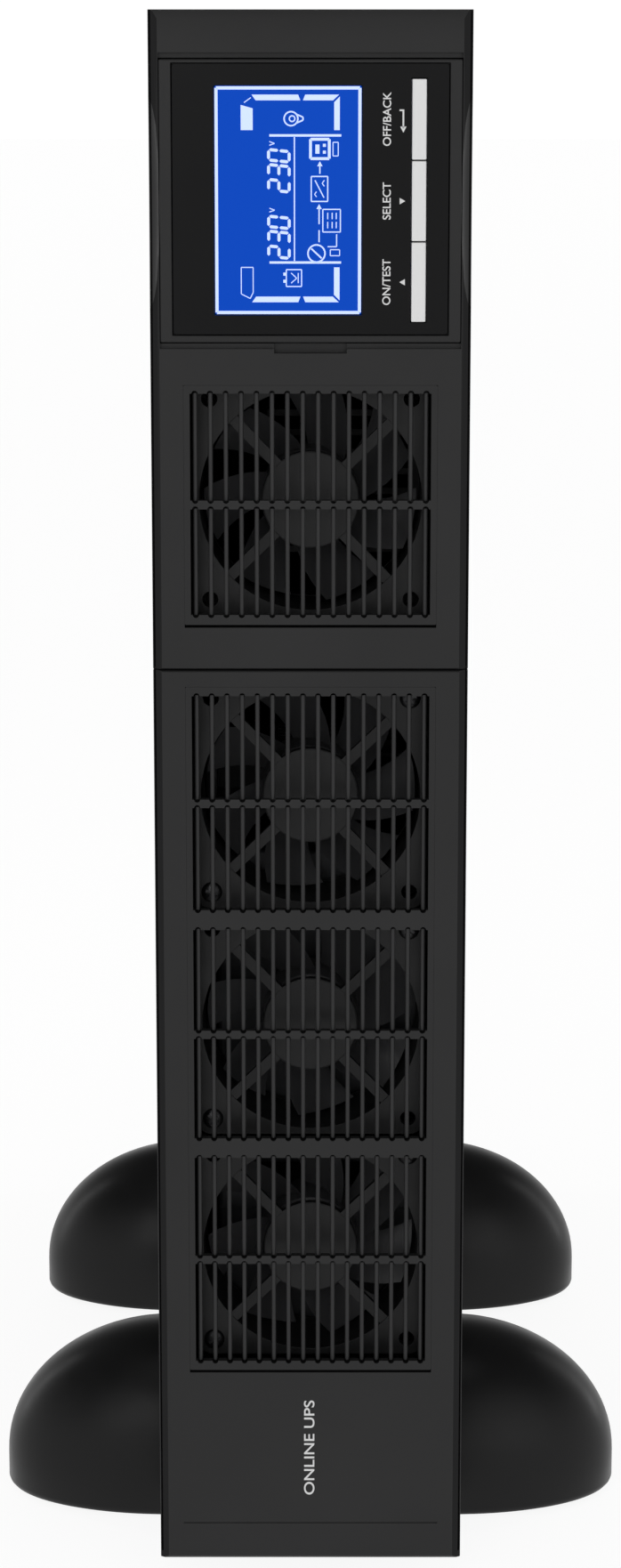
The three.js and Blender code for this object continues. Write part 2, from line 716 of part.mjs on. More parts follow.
const BAY_FRONT = STEEL_FRONT + 14;
const SINK_LENGTH = 112;
const SINK_FLOOR = lift(UPPER_FAN - 21);
add('main_board', block(BOARD_X, [BAY_FRONT, BAY_FRONT + 290], [DIVIDER + 15, LIP_LINE - 3]), 'board');
add('control_board', block([-31.6, -30], [-40, 100], [340, 428]), 'board');
add('heatsink_rectifier', heatsink(SINK_LENGTH), 'aluminium', [BOARD_X[0] - GAP, BAY_FRONT + 6, SINK_FLOOR]);
add('heatsink_inverter', heatsink(SINK_LENGTH), 'aluminium', [
  BOARD_X[0] - GAP,
  BAY_FRONT + 6 + SINK_LENGTH + 14,
  SINK_FLOOR,
]);
const CHOKE_X = BOARD_X[0] - GAP - 9;
add('boost_choke', toroid(19, 8.5), 'copper', [CHOKE_X, BAY_FRONT + 36, lift(376)]);
add('output_choke', toroid(19, 8.5), 'copper', [CHOKE_X, BAY_FRONT + 100, lift(376)]);
const CAP_LENGTH = 45;
for (let index = 0; index < 2; index += 1) {
  add(`bus_capacitor_${index + 1}`, capacitor(CAP_LENGTH), 'capacitor', [
    BOARD_X[0] - GAP - CAP_LENGTH / 2,
    BAY_FRONT + 160 + 36 * index,
    lift(376),
  ]);
}

const FITTING_FINISH = { usb_port: 'shell', serial_port: 'shell', network_jack: 'shell' };
for (const [name, shape] of Object.entries(FITTING_SHAPES)) {
  add(name, rearFitting(name, shape), FITTING_FINISH[name] ?? 'socket');
}
add('breaker_body', breakerBody(), 'socket');
add('breaker_button', resetButton(), 'button');
add('card_slot_cover', cardSlotCover(), 'steel');

const STANDS = { front: FRONT_STAND, rear: FRONT_STAND + STAND_SPACING };
const SIDES = { left: -1, right: 1 };
const PAD_X = 70;
for (const [place, y] of Object.entries(STANDS)) {
  for (const [hand, side] of Object.entries(SIDES)) {
    add(`foot_${place}_${hand}`, standFoot(side), 'foot', [0, y, 0]);
    add(`pad_${place}_${hand}`, standPad(), 'rubber', [side * PAD_X, y, 0]);
  }
}

export default part;
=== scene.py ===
"""Looks of a rack/tower uninterruptible power supply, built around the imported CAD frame."""

import json
import math
import random

import bmesh
import bpy
from mathutils import Matrix, Vector


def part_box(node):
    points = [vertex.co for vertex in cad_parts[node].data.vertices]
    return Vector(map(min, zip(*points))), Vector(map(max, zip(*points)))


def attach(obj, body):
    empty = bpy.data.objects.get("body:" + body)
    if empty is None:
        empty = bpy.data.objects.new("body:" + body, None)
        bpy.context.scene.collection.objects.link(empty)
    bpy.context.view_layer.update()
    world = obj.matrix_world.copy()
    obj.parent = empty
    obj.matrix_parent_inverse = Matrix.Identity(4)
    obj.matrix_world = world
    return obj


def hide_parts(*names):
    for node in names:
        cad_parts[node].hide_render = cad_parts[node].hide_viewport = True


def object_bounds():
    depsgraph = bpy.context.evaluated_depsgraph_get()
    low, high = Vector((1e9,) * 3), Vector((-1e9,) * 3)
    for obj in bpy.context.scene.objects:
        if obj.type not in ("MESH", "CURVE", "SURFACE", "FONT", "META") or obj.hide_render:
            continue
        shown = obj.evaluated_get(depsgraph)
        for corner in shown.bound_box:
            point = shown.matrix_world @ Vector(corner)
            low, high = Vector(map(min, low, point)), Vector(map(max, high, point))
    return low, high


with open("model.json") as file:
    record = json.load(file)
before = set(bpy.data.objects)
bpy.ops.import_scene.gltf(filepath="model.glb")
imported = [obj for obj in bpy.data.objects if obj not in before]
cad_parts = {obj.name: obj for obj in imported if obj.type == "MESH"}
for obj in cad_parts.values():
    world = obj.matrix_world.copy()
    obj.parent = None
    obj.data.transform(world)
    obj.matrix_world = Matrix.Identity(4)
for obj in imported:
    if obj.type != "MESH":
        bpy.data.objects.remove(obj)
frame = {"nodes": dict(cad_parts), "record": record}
cad_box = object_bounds()
random.seed(7)

MM = 0.001
NODES = frame["nodes"]
BODY_OF = {node: body for body, members in frame["record"]["behaviour"]["bodies"].items() for node in members}
LOW = {node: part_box(node)[0] for node in NODES}
HIGH = {node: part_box(node)[1] for node in NODES}

FACE = LOW["upper_bezel"].y          # front face of the bezels
FLOOR = cad_box[0].z
BASE = LOW["lower_bezel"].z          # underside of the body
TOP = HIGH["upper_bezel"].z
HALF = HIGH["upper_bezel"].x


def middle(node):
    return (LOW[node] + HIGH[node]) / 2


# ---------------------------------------------------------------- camera, lights and floor

CAMERA_DISTANCE = 0.997              # in front of the bezels' face
CAMERA_TILT = 11.86                  # degrees below the horizon
CAMERA_LENS = 84.7


def make_camera():
    data = bpy.data.cameras.new("camera")
    data.lens = CAMERA_LENS
    data.sensor_width = 36
    data.clip_start = 0.01
    data.clip_end = 50
    camera = bpy.data.objects.new("camera", data)
    camera.location = (0, FACE - CAMERA_DISTANCE, TOP)
    camera.rotation_euler = (math.radians(90 - CAMERA_TILT), 0, 0)
    bpy.context.scene.collection.objects.link(camera)
    bpy.context.scene.camera = camera


def area_light(name, power, width, position, target, height=None):
    """A soft light that faces its target, square unless it has a height."""
    data = bpy.data.lights.new(name, "AREA")
    data.energy = power
    data.shape = "RECTANGLE"
    data.size = width
    data.size_y = height or width
    light = bpy.data.objects.new(name, data)
    light.location = position
    light.rotation_euler = (Vector(target) - Vector(position)).to_track_quat("-Z", "Y").to_euler()
    bpy.context.scene.collection.objects.link(light)


def make_world():
    """A white horizon that fades to a dim sky overhead."""
    world = bpy.data.worlds.new("studio")
    world.use_nodes = True
    tree = world.node_tree
    place = tree.nodes.new("ShaderNodeTexCoord").outputs["Generated"]
    split = tree.nodes.new("ShaderNodeSeparateXYZ")
    fade = tree.nodes.new("ShaderNodeMapRange")
    fade.inputs["From Min"].default_value = 0.12
    fade.inputs["From Max"].default_value = 0.62
    fade.inputs["To Min"].default_value = 1.05
    fade.inputs["To Max"].default_value = 0.16
    tree.links.new(place, split.inputs["Vector"])
    tree.links.new(split.outputs["Z"], fade.inputs["Value"])
    tree.links.new(fade.outputs["Result"], tree.nodes["Background"].inputs["Strength"])
    tree.nodes["Background"].inputs["Color"].default_value = (1, 1, 1, 1)
    bpy.context.scene.world = world


def make_stage():
    bpy.context.scene.view_settings.view_transform = "Standard"
    make_world()
    area_light("key_light", 4, 0.9, (-0.6, -1.8, 0.9), (0, 0, 0.2))
    area_light("fill_light", 2.5, 1.1, (0.9, -1.5, 0.6), (0, 0, 0.2))
    area_light("top_light", 2.6, 0.7, (0, -1.1, 1.9), (0, 0, 0.3))
    for side in (-1, 1):
        area_light(f"edge_light_{side}", 1.2, 0.12, (side * 0.9, 0.35, 0.35), (0, 0, 0.1), 0.9)
    make_floor()


def make_floor():
    """A pale floor that glows a little, so that it meets the white horizon without an edge."""
    mesh = bpy.data.meshes.new("studio_floor")
    reach = 12
    mesh.from_pydata(
        [(-reach, -reach, FLOOR), (reach, -reach, FLOOR), (reach, reach, FLOOR), (-reach, reach, FLOOR)],
        [],
        [(0, 1, 2, 3)],
    )
    floor = bpy.data.objects.new("studio_floor", mesh)
    bpy.context.scene.collection.objects.link(floor)
    paint = bpy.data.materials.new("studio_floor")
    paint.use_nodes = True
    shader = paint.node_tree.nodes["Principled BSDF"]
    shader.inputs["Base Color"].default_value = (0.16, 0.16, 0.16, 1)
    shader.inputs["Roughness"].default_value = 0.9
    shader.inputs["Emission Color"].default_value = (1, 1, 1, 1)
    shader.inputs["Emission Strength"].default_value = 0.9
    mesh.materials.append(paint)


# ---------------------------------------------------------------- materials


NOISE_LOW, NOISE_HIGH = 0.3, 0.7      # nearly all of a noise texture's values lie between these


class Paint:
    """One procedural material: a Principled shader with helpers for its noise, bump and wear."""

    def __init__(self, name, colour, roughness, metallic=0.0, specular=0.5):
        self.material = bpy.data.materials.new(name)
        self.material.use_nodes = True
        self.tree = self.material.node_tree
        self.shader = self.tree.nodes["Principled BSDF"]
        self.shader.inputs["Base Color"].default_value = (*colour, 1)
        self.shader.inputs["Roughness"].default_value = roughness
        self.shader.inputs["Metallic"].default_value = metallic
        self.shader.inputs["Specular IOR Level"].default_value = specular
        self.colour = colour
        self.roughness = roughness
        self.place = self.tree.nodes.new("ShaderNodeTexCoord").outputs["Object"]

    def link(self, source, target):
        self.tree.links.new(source, target)

    def noise(self, size_mm, detail=4.0, stretch=(1, 1, 1)):
        mapping = self.tree.nodes.new("ShaderNodeMapping")
        mapping.inputs["Scale"].default_value = stretch
        texture = self.tree.nodes.new("ShaderNodeTexNoise")
        texture.inputs["Scale"].default_value = 1 / (size_mm * MM)
        texture.inputs["Detail"].default_value = detail
        self.link(self.place, mapping.inputs["Vector"])
        self.link(mapping.outputs["Vector"], texture.inputs["Vector"])
        return texture.outputs["Fac"]

    def spread(self, value, low, high):
        """Maps the middle of a noise's range to low and high."""
        node = self.tree.nodes.new("ShaderNodeMapRange")
        node.inputs["From Min"].default_value = NOISE_LOW
        node.inputs["From Max"].default_value = NOISE_HIGH
        node.inputs["To Min"].default_value = low
        node.inputs["To Max"].default_value = high
        self.link(value, node.inputs["Value"])
        return node.outputs["Result"]

    def mottle(self, size_mm, amount):
        """Colour a little lighter and darker in soft patches."""
        mix = self.tree.nodes.new("ShaderNodeMix")
        mix.data_type = "RGBA"
        mix.inputs["A"].default_value = (*[c * (1 - amount) for c in self.colour], 1)
        mix.inputs["B"].default_value = (*[c * (1 + amount) for c in self.colour], 1)
        self.link(self.spread(self.noise(size_mm), 0, 1), mix.inputs["Factor"])
        self.link(mix.outputs["Result"], self.shader.inputs["Base Color"])
        return self

    def smudge(self, size_mm, amount):
        """Roughness that varies in soft patches, as handling leaves it."""
        low = max(0.02, self.roughness - amount)
        high = min(1.0, self.roughness + amount)
        self.link(self.spread(self.noise(size_mm), low, high), self.shader.inputs["Roughness"])
        return self

    def grain(self, size_mm, depth_mm, strength, stretch=(1, 1, 1)):
        """A fine moulded or blasted texture."""
        bump = self.tree.nodes.new("ShaderNodeBump")
        bump.inputs["Distance"].default_value = depth_mm * MM
        bump.inputs["Strength"].default_value = strength
        self.link(self.noise(size_mm, 3.0, stretch), bump.inputs["Height"])
        self.link(bump.outputs["Normal"], self.shader.inputs["Normal"])
        return self

    def glow(self, colour, strength):
        self.shader.inputs["Emission Color"].default_value = (*colour, 1)
        self.shader.inputs["Emission Strength"].default_value = strength
        return self


def make_paints():
    paints = {
        "bezel": Paint("bezel_plastic", (0.0125, 0.0125, 0.0128), 0.5, specular=0.25)
        .mottle(60, 0.08).smudge(25, 0.05).grain(0.45, 0.05, 0.25),
        # The side bevels' paint: the bezel plastic made darker, as painted shade on those bevels.
        "edge": Paint("bezel_edge_painted_shade", (0.0075, 0.0075, 0.0078), 0.55, specular=0.12)
        .grain(0.45, 0.05, 0.25),
        "rib": Paint("grille_plastic", (0.0165, 0.0165, 0.017), 0.45, specular=0.28)
        .smudge(20, 0.05).grain(0.4, 0.04, 0.2),
        "gloss": Paint("gloss_window", (0.0035, 0.0035, 0.0038), 0.24, specular=0.12).smudge(30, 0.05),
        "case": Paint("painted_steel", (0.013, 0.013, 0.0135), 0.5, specular=0.35)
        .mottle(80, 0.1).smudge(40, 0.06).grain(0.7, 0.06, 0.35),
        "zinc": Paint("zinc_steel", (0.2, 0.204, 0.212), 0.42, metallic=1.0)
        .mottle(20, 0.06).smudge(16, 0.05).grain(0.6, 0.02, 0.2),
        "fan": Paint("fan_plastic", (0.011, 0.011, 0.0115), 0.42, specular=0.35)
        .smudge(12, 0.06).grain(0.5, 0.03, 0.2),
        "foot": Paint("foot_plastic", (0.0042, 0.0042, 0.0044), 0.36, specular=0.19)
        .mottle(30, 0.1).smudge(15, 0.05).grain(0.5, 0.04, 0.2),
        # Blades: the fan plastic made lighter and glossier, as painted light for the light the blades catch
        # through the grille.
        "blade": Paint("fan_blade_painted_light", (0.045, 0.045, 0.047), 0.34, specular=0.5)
        .smudge(12, 0.06).grain(0.5, 0.03, 0.2),
        # Heatsinks: black anodised, a real finish, made dark here also as painted shade for the inside of the
        # case.
        "dark_metal": Paint("anodised_black_and_painted_shade", (0.012, 0.012, 0.013), 0.42, specular=0.4)
        .smudge(10, 0.08).grain(0.8, 0.02, 0.3, stretch=(1, 0.05, 1)),
        "green": Paint("terminal_green", (0.03, 0.2, 0.07), 0.45).smudge(4, 0.06).grain(0.4, 0.02, 0.2),
        "plug": Paint("plug_grey", (0.03, 0.03, 0.032), 0.45, specular=0.3)
        .smudge(6, 0.08).grain(0.6, 0.02, 0.2),
        "rubber": Paint("pad_rubber", (0.012, 0.012, 0.012), 0.85, specular=0.2).grain(0.6, 0.08, 0.5),
        "screen": Paint("screen_blue", (0.0005, 0.012, 0.1), 0.3, specular=0.06)
        .glow((0.001, 0.062, 0.5), 0.85).smudge(12, 0.04),
        "segment": Paint("screen_segment", (0.3, 0.35, 0.6), 0.3, specular=0.2)
        .glow((0.5, 0.62, 0.95), 0.75),
        "key": Paint("key_plastic", (0.68, 0.68, 0.68), 0.42).smudge(8, 0.05).grain(0.5, 0.02, 0.2),
        "print": Paint("white_print", (0.62, 0.62, 0.62), 0.55).grain(0.3, 0.01, 0.2),
        "board": Paint("circuit_board", (0.015, 0.1, 0.04), 0.35).mottle(7, 0.25).grain(1.2, 0.03, 0.3),
        "chip": Paint("chip_epoxy", (0.012, 0.012, 0.013), 0.5).grain(0.3, 0.02, 0.3),
        "copper": Paint("copper_winding", (0.45, 0.16, 0.06), 0.3, metallic=0.8)
        .mottle(5, 0.2).grain(0.5, 0.04, 0.3),
        "sleeve": Paint("capacitor_sleeve", (0.01, 0.016, 0.05), 0.3)
        .smudge(8, 0.08).grain(1.5, 0.02, 0.2),
        "socket": Paint("socket_plastic", (0.008, 0.008, 0.0083), 0.45, specular=0.4)
        .smudge(10, 0.06).grain(0.4, 0.03, 0.25),
        "nickel": Paint("nickel_shell", (0.34, 0.335, 0.32), 0.34, metallic=1.0)
        .smudge(5, 0.08).grain(0.5, 0.01, 0.2),
        "brass": Paint("brass_contact", (0.6, 0.42, 0.16), 0.28, metallic=1.0)
        .smudge(4, 0.08).grain(0.4, 0.01, 0.2),
        "battery": Paint("battery_case", (0.03, 0.032, 0.036), 0.48)
        .mottle(30, 0.1).smudge(15, 0.06).grain(0.9, 0.06, 0.35),
        "red": Paint("red_plastic", (0.35, 0.015, 0.012), 0.4).smudge(6, 0.08).grain(0.6, 0.02, 0.2),
        "black_wire": Paint("wire_black", (0.01, 0.01, 0.01), 0.4).smudge(5, 0.1).grain(0.5, 0.02, 0.3),
        "screw": Paint("screw_steel", (0.05, 0.05, 0.052), 0.35, metallic=0.9)
        .smudge(2, 0.1).grain(0.3, 0.01, 0.3),
    }
    return paints


PAINT = make_paints()


def paint(obj, key):
    obj.data.materials.clear()
    obj.data.materials.append(PAINT[key].material)
    return obj


def repaint_node(node, key):
    """Gives a CAD node its finish and leaves its mesh alone."""
    obj = NODES[node]
    for slot in obj.material_slots:
        slot.link = "OBJECT"
        slot.material = PAINT[key].material


NODE_PAINT = {
    # front_bulkhead has the case's black paint, which here is also painted shade for what shows behind the
    # fans.
    "case": ["chassis_pan", "side_cover", "rear_panel", "tray_face", "front_bulkhead", "card_slot_cover"],
    "zinc": ["bay_divider", "battery_tray"],
    "bezel": ["upper_bezel", "lower_bezel", "panel_frame"],
    "rib": ["upper_grille", "lower_grille"],
    "gloss": ["display_window"],
    "screen": ["lcd_panel"],
    "board": ["panel_board", "main_board", "control_board"],
    "key": ["button_on", "button_select", "button_off"],
    "fan": [f"fan_{kind}_{i}" for kind in ("frame", "rotor") for i in range(1, 5)],
    "foot": ["foot_front_left", "foot_front_right", "foot_rear_left", "foot_rear_right", "tray_handle"],
    "rubber": ["pad_front_left", "pad_front_right", "pad_rear_left", "pad_rear_right"],
    # The heatsinks' black is partly painted shade, keeping the inside of the case dark behind the fans.
    "dark_metal": ["heatsink_rectifier", "heatsink_inverter"],
    "copper": ["boost_choke", "output_choke"],
    "sleeve": ["bus_capacitor_1", "bus_capacitor_2"],
    "socket": ["emergency_off_socket", "mains_inlet", "outlet_block_1", "outlet_block_2",
               "external_battery_socket", "breaker_body"],
    "nickel": ["usb_port", "serial_port", "network_jack"],
    "battery": ["battery_1", "battery_2", "battery_3", "battery_4"],
    "plug": ["battery_plug", "breaker_button"],
}

# ---------------------------------------------------------------- mesh tools

SHARP = math.radians(35)
FLAT_TURN = math.radians(8)
FLAT = math.cos(math.radians(0.4))
LARGE_FACE = 4e-6                    # square metres
MUCH_LARGER = 12


def place(obj, body, slot, key, replaces=()):
    """Links a new piece, paints it, and lets it ride on its body."""
    if obj.name not in bpy.context.scene.collection.objects:
        bpy.context.scene.collection.objects.link(obj)
    paint(obj, key)
    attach(obj, body)
    if replaces:
        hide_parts(*replaces)
    return obj


def object_from(bm, name):
    """A new object with the bmesh's faces turned outwards. The bmesh is used up."""
    mesh = bpy.data.meshes.new(name)
    bmesh.ops.recalc_face_normals(bm, faces=bm.faces)
    bm.to_mesh(mesh)
    bm.free()
    obj = bpy.data.objects.new(name, mesh)
    bpy.context.scene.collection.objects.link(obj)
    return obj


def add_box(bm, low, high):
    """A box between two corners, in metres."""
    low, high = Vector(low), Vector(high)
    matrix = Matrix.Translation((low + high) / 2) @ Matrix.Diagonal((*(high - low), 1))
    return bmesh.ops.create_cube(bm, size=1, matrix=matrix)["verts"]


def add_prism(bm, points, to_3d, start, end):
    """A closed prism: points is its outline in two coordinates, to_3d(u, v, w) places them."""
    rings = [[bm.verts.new(to_3d(u, v, w)) for u, v in points] for w in (start, end)]
    count = len(points)
    for i in range(count):
        j = (i + 1) % count
        bm.faces.new((rings[0][i], rings[0][j], rings[1][j], rings[1][i]))
    bm.faces.new(rings[0][::-1])
    bm.faces.new(rings[1])


# Three ways to place an outline: w runs along the named axis, u and v along the other two.


def along_x(u, v, w):
    return (w, u, v)


def along_y(u, v, w):
    return (u, w, v)


def along_z(u, v, w):
    return (u, v, w)


def circle(radius, count, centre=(0, 0), start=0.0, end=2 * math.pi):
    """Points on a circle, or on the arc from start to end with both ends."""
    whole = abs(end - start - 2 * math.pi) < 1e-6
    steps = count if whole else count - 1
    return [
        (
            centre[0] + radius * math.cos(start + (end - start) * i / steps),
            centre[1] + radius * math.sin(start + (end - start) * i / steps),
        )
        for i in range(count)
    ]


def rounded_rectangle(low, high, radius, steps=4):
    """The outline of a rectangle with round corners, counter-clockwise."""
    (u0, v0), (u1, v1) = low, high
    corners = [
        ((u1 - radius, v0 + radius), -math.pi / 2),
        ((u1 - radius, v1 - radius), 0),
        ((u0 + radius, v1 - radius), math.pi / 2),
        ((u0 + radius, v0 + radius), math.pi),
    ]
    points = []
    for centre, start in corners:
        points += circle(radius, steps + 1, centre, start, start + math.pi / 2)
    return points


def add_lathe(bm, profile, count, to_3d):
    """A solid of revolution: profile holds (radius, along) from one end on the axis to the other."""
    rings = []
    for radius, along in profile:
        if radius < 1e-9:
            rings.append([bm.verts.new(to_3d(0, 0, along))])
        else:
            rings.append([bm.verts.new(to_3d(u, v, along)) for u, v in circle(radius, count)])
    for one, two in zip(rings, rings[1:]):
        for i in range(count):
            j = (i + 1) % count
            corners = [one[i % len(one)], one[j % len(one)], two[j % len(two)], two[i % len(two)]]
            unique = list(dict.fromkeys(corners))
            if len(unique) > 2:
                bm.faces.new(unique)


def add_ring(bm, profile, count, to_3d):
    """A solid of revolution whose profile of (radius, along) closes on itself, clear of the axis."""
    rings = []
    for radius, along in profile:
        rings.append([bm.verts.new(to_3d(u, v, along)) for u, v in circle(radius, count)])
    for one, two in zip(rings, rings[1:] + rings[:1]):
        for i in range(count):
            j = (i + 1) % count
            bm.faces.new((one[i], one[j], two[j], two[i]))


def move(bm, offset):
    bmesh.ops.transform(bm, matrix=Matrix.Translation(offset), verts=bm.verts)


def evaluated_mesh(obj):
    graph = bpy.context.evaluated_depsgraph_get()
    return bpy.data.meshes.new_from_object(obj.evaluated_get(graph))


def add_polyline(curve, points):
    spline = curve.splines.new("POLY")
    spline.points.add(len(points) - 1)
    for point, position in zip(spline.points, points):
        point.co = (*position, 1)
    return spline


def wire_curve(name, radius, resolution):
    """An empty curve with a round thickness and closed ends."""
    curve = bpy.data.curves.new(name, "CURVE")
    curve.dimensions = "3D"
    curve.bevel_depth = radius
    curve.bevel_resolution = resolution
    curve.use_fill_caps = True
    return curve


def mesh_from_curve(name, curve):
    """The solid that a curve with a thickness describes. The curve is removed."""
    holder = bpy.data.objects.new(name, curve)
    bpy.context.scene.collection.objects.link(holder)
    mesh = evaluated_mesh(holder)
    bpy.data.objects.remove(holder)
    bpy.data.curves.remove(curve)
    return mesh


def object_from_curve(name, curve):
    obj = bpy.data.objects.new(name, mesh_from_curve(name, curve))
    bpy.context.scene.collection.objects.link(obj)
    return obj


def bake_modifiers(obj):
    """Puts the mesh that the modifiers make in place of the old one."""
    mesh = evaluated_mesh(obj)
    old = obj.data
    obj.modifiers.clear()
    obj.data = mesh
    mesh.name = obj.name
    if old.users == 0:
        bpy.data.meshes.remove(old)
    return obj


def carve(obj, cutter):
    """Takes the cutter's solid out of obj, and removes the cutter."""
    tool = obj.modifiers.new("carve", "BOOLEAN")
    tool.operation = "DIFFERENCE"
    tool.solver = "EXACT"
    tool.object = cutter
    bake_modifiers(obj)
    mesh = cutter.data
    bpy.data.objects.remove(cutter)
    bpy.data.meshes.remove(mesh)
    return obj


def carve_boxes(obj, boxes):
    for low, high in boxes:
        bm = bmesh.new()
        add_box(bm, low, high)
        carve(obj, object_from(bm, "cutter"))
    return obj


def flat_regions(bm):
    """Gives each face the number and the area of the flat region that it belongs to."""
    region = {}
    areas = []
    for seed in bm.faces:
        if seed in region:
            continue
        number = len(areas)
        region[seed] = number
        area = 0.0
        open_faces = [seed]
        while open_faces:
            face = open_faces.pop()
            area += face.calc_area()
            for edge in face.edges:
                for other in edge.link_faces:
                    if other not in region and other.normal.dot(face.normal) > FLAT:
                        region[other] = number
                        open_faces.append(other)
        areas.append(area)
    return region, areas


def shade(obj, angle=SHARP):
    """Smooth shading: edges sharper than the angle stay crisp, and large flat faces stay flat."""
    bm = bmesh.new()
    bm.from_mesh(obj.data)
    bm.normal_update()
    region, areas = flat_regions(bm)
    for face in bm.faces:
        face.smooth = True
    for edge in bm.edges:
        if len(edge.link_faces) != 2:
            edge.smooth = False
            continue
        small, large = sorted(areas[region[face]] for face in edge.link_faces)
        turn = edge.calc_face_angle(0)
        beside_flat = turn > FLAT_TURN and large > MUCH_LARGER * small and large > LARGE_FACE
        edge.smooth = turn < angle and not beside_flat
    bm.to_mesh(obj.data)
    bm.free()
    return obj


def soften(obj, width_mm, segments=2, angle=30):
    """Rounds the edges that are sharper than angle degrees."""
    bevel = obj.modifiers.new("soften", "BEVEL")
    bevel.width = width_mm * MM
    bevel.segments = segments
    bevel.limit_method = "ANGLE"
    bevel.angle_limit = math.radians(angle)
    bevel.use_clamp_overlap = True
    bake_modifiers(obj)
    return shade(obj, math.radians(50))


def join_meshes(name, objects):
    """One object from several, with their meshes as separate islands."""
    bm = bmesh.new()
    for obj in objects:
        mesh = obj.data
        mesh.transform(obj.matrix_world)
        bm.from_mesh(mesh)
        bpy.data.objects.remove(obj)
        bpy.data.meshes.remove(mesh)
    result = object_from(bm, name)
    return shade(result, math.radians(40))


# ---------------------------------------------------------------- bezels

WALL = 2.5 * MM
BEVEL = 2.5 * MM
BEVEL_DEEP = 1.6 * MM                # how far back the side bevels reach
GROOVE = 1.1 * MM
CASE_FRONT = HIGH["upper_bezel"].y


def bezel_solid(name, low_z, high_z, top_bevel, bottom_bevel):
    """The moulding's outer form, with flat bevels up its sides and bevels (height, depth) at its ends."""
    bm = bmesh.new()
    side = [(HALF, CASE_FRONT), (HALF, FACE + BEVEL_DEEP), (HALF - BEVEL, FACE)]
    section = [*side, *[(-x, y) for x, y in reversed(side)]]
    add_prism(bm, section, along_z, low_z, high_z)
    obj = object_from(bm, name)
    for edge_z, (height, depth), outward in ((high_z, top_bevel, 1), (low_z, bottom_bevel, -1)):
        bm = bmesh.new()
        wedge = [
            (FACE - depth, edge_z - outward * 2 * height),
            (FACE + 2 * depth, edge_z + outward * height),
            (FACE - depth, edge_z + outward * height),
        ]
        add_prism(bm, wedge, along_x, -HALF - MM, HALF + MM)
        carve(obj, object_from(bm, "cutter"))
    return obj


def finish_bezel(bezel, node):
    """Rounds the moulding's edges, cuts the window and the side seams sharp, and gives the side bevels a
    darker paint as painted shade.
    """
    soften(bezel, 0.28)
    low, high = LOW[node].z, HIGH[node].z
    seams = [
        tuple(sorted((side * (HALF - 0.75 * MM), side * (HALF - 0.3 * MM)))) for side in (-1, 1)
    ]
    end = low + 2 * MM if node == "lower_bezel" else low - MM
    boxes = [((x0, FACE - MM, end), (x1, FACE + 5 * MM, high + MM)) for x0, x1 in seams]
    carve_boxes(bezel, [window_recess(node.replace("bezel", "grille")), *boxes])
    shade(bezel)
    place(bezel, BODY_OF[node], "bezel_plastic", "bezel", (node,))
    # Painted shade: the side bevels' faces take the darker paint, though they are the same plastic as the
    # rest.
    bezel.data.materials.append(PAINT["edge"].material)
    tilt = BEVEL_DEEP / math.hypot(BEVEL, BEVEL_DEEP)
    for face in bezel.data.polygons:
        at_side = abs(face.center.x) > HALF - BEVEL - 0.2 * MM
        at_front = face.center.y < FACE + BEVEL_DEEP + 0.2 * MM
        if at_side and at_front and abs(abs(face.normal.x) - tilt) < 0.02:
            face.material_index = 1


def bezel_hollow(low_z, high_z):
    """The space behind the moulding's front wall."""
    return (-HALF + WALL, FACE + WALL, low_z + WALL), (HALF - WALL, CASE_FRONT + MM, high_z - WALL)


def window_recess(node):
    """The opening for a grille insert, with a little room round it."""
    room = 0.03 * MM
    low, high = LOW[node], HIGH[node]
    return (
        (low.x - room, FACE - MM, low.z - 0.6 * MM),
        (high.x + room, FACE + WALL + 2 * MM, high.z + room),
    )


def finger_scoop(side, low_z, high_z):
    """A long shallow scoop along a front edge, for a finger that pulls the panel out."""
    bm = bmesh.new()
    bmesh.ops.create_uvsphere(bm, u_segments=32, v_segments=64, radius=1)
    radius = 6 * MM
    height = (high_z - low_z) / 2
    out = (radius - 1.5 * MM) / math.sqrt(2)
    centre = (side * (HALF - 0.6 * MM + out), FACE + 0.6 * MM - out, (low_z + high_z) / 2)
    shape = Matrix.Diagonal((radius, radius, height * 1.5, 1))
    bmesh.ops.transform(bm, matrix=Matrix.Translation(centre) @ shape, verts=bm.verts)
    return object_from(bm, "cutter")


def make_upper_bezel():
    node = "upper_bezel"
    low, high = LOW[node].z, HIGH[node].z
    panel_low, panel_high = LOW["panel_frame"], HIGH["panel_frame"]
    cap_bevel, seam_bevel = (2.4 * MM, 0.9 * MM), (0.3 * MM, 0.5 * MM)
    bezel = bezel_solid("upper_bezel_moulding", low, high - 0.01 * MM, cap_bevel, seam_bevel)
    room = 0.3 * MM
    recess = 1.7 * MM
    side_room = 0.12 * MM
    opening_low, opening_high = panel_low.x - side_room, panel_high.x + side_room
    carve_boxes(bezel, [
        bezel_hollow(low, high),
        (
            (opening_low, FACE - MM, panel_low.z - room),
            (opening_high, FACE + WALL + 2 * MM, panel_high.z + room),
        ),
        ((-9.8 * MM, FACE - MM, panel_low.z - 2.9 * MM), (9.8 * MM, FACE + 2 * MM, panel_low.z)),
    ])
    # The recess round the panel stops at the side walls, which keep their bevels.
    carve_boxes(bezel, [
        ((opening_low, FACE - MM, panel_low.z - recess), (opening_high, FACE + GROOVE, panel_low.z)),
        ((opening_low, FACE - MM, panel_high.z), (opening_high, FACE + GROOVE, panel_high.z + recess)),
    ])
    for side in (-1, 1):
        carve(bezel, finger_scoop(side, panel_low.z + 5 * MM, panel_high.z - 6 * MM))
    finish_bezel(bezel, node)


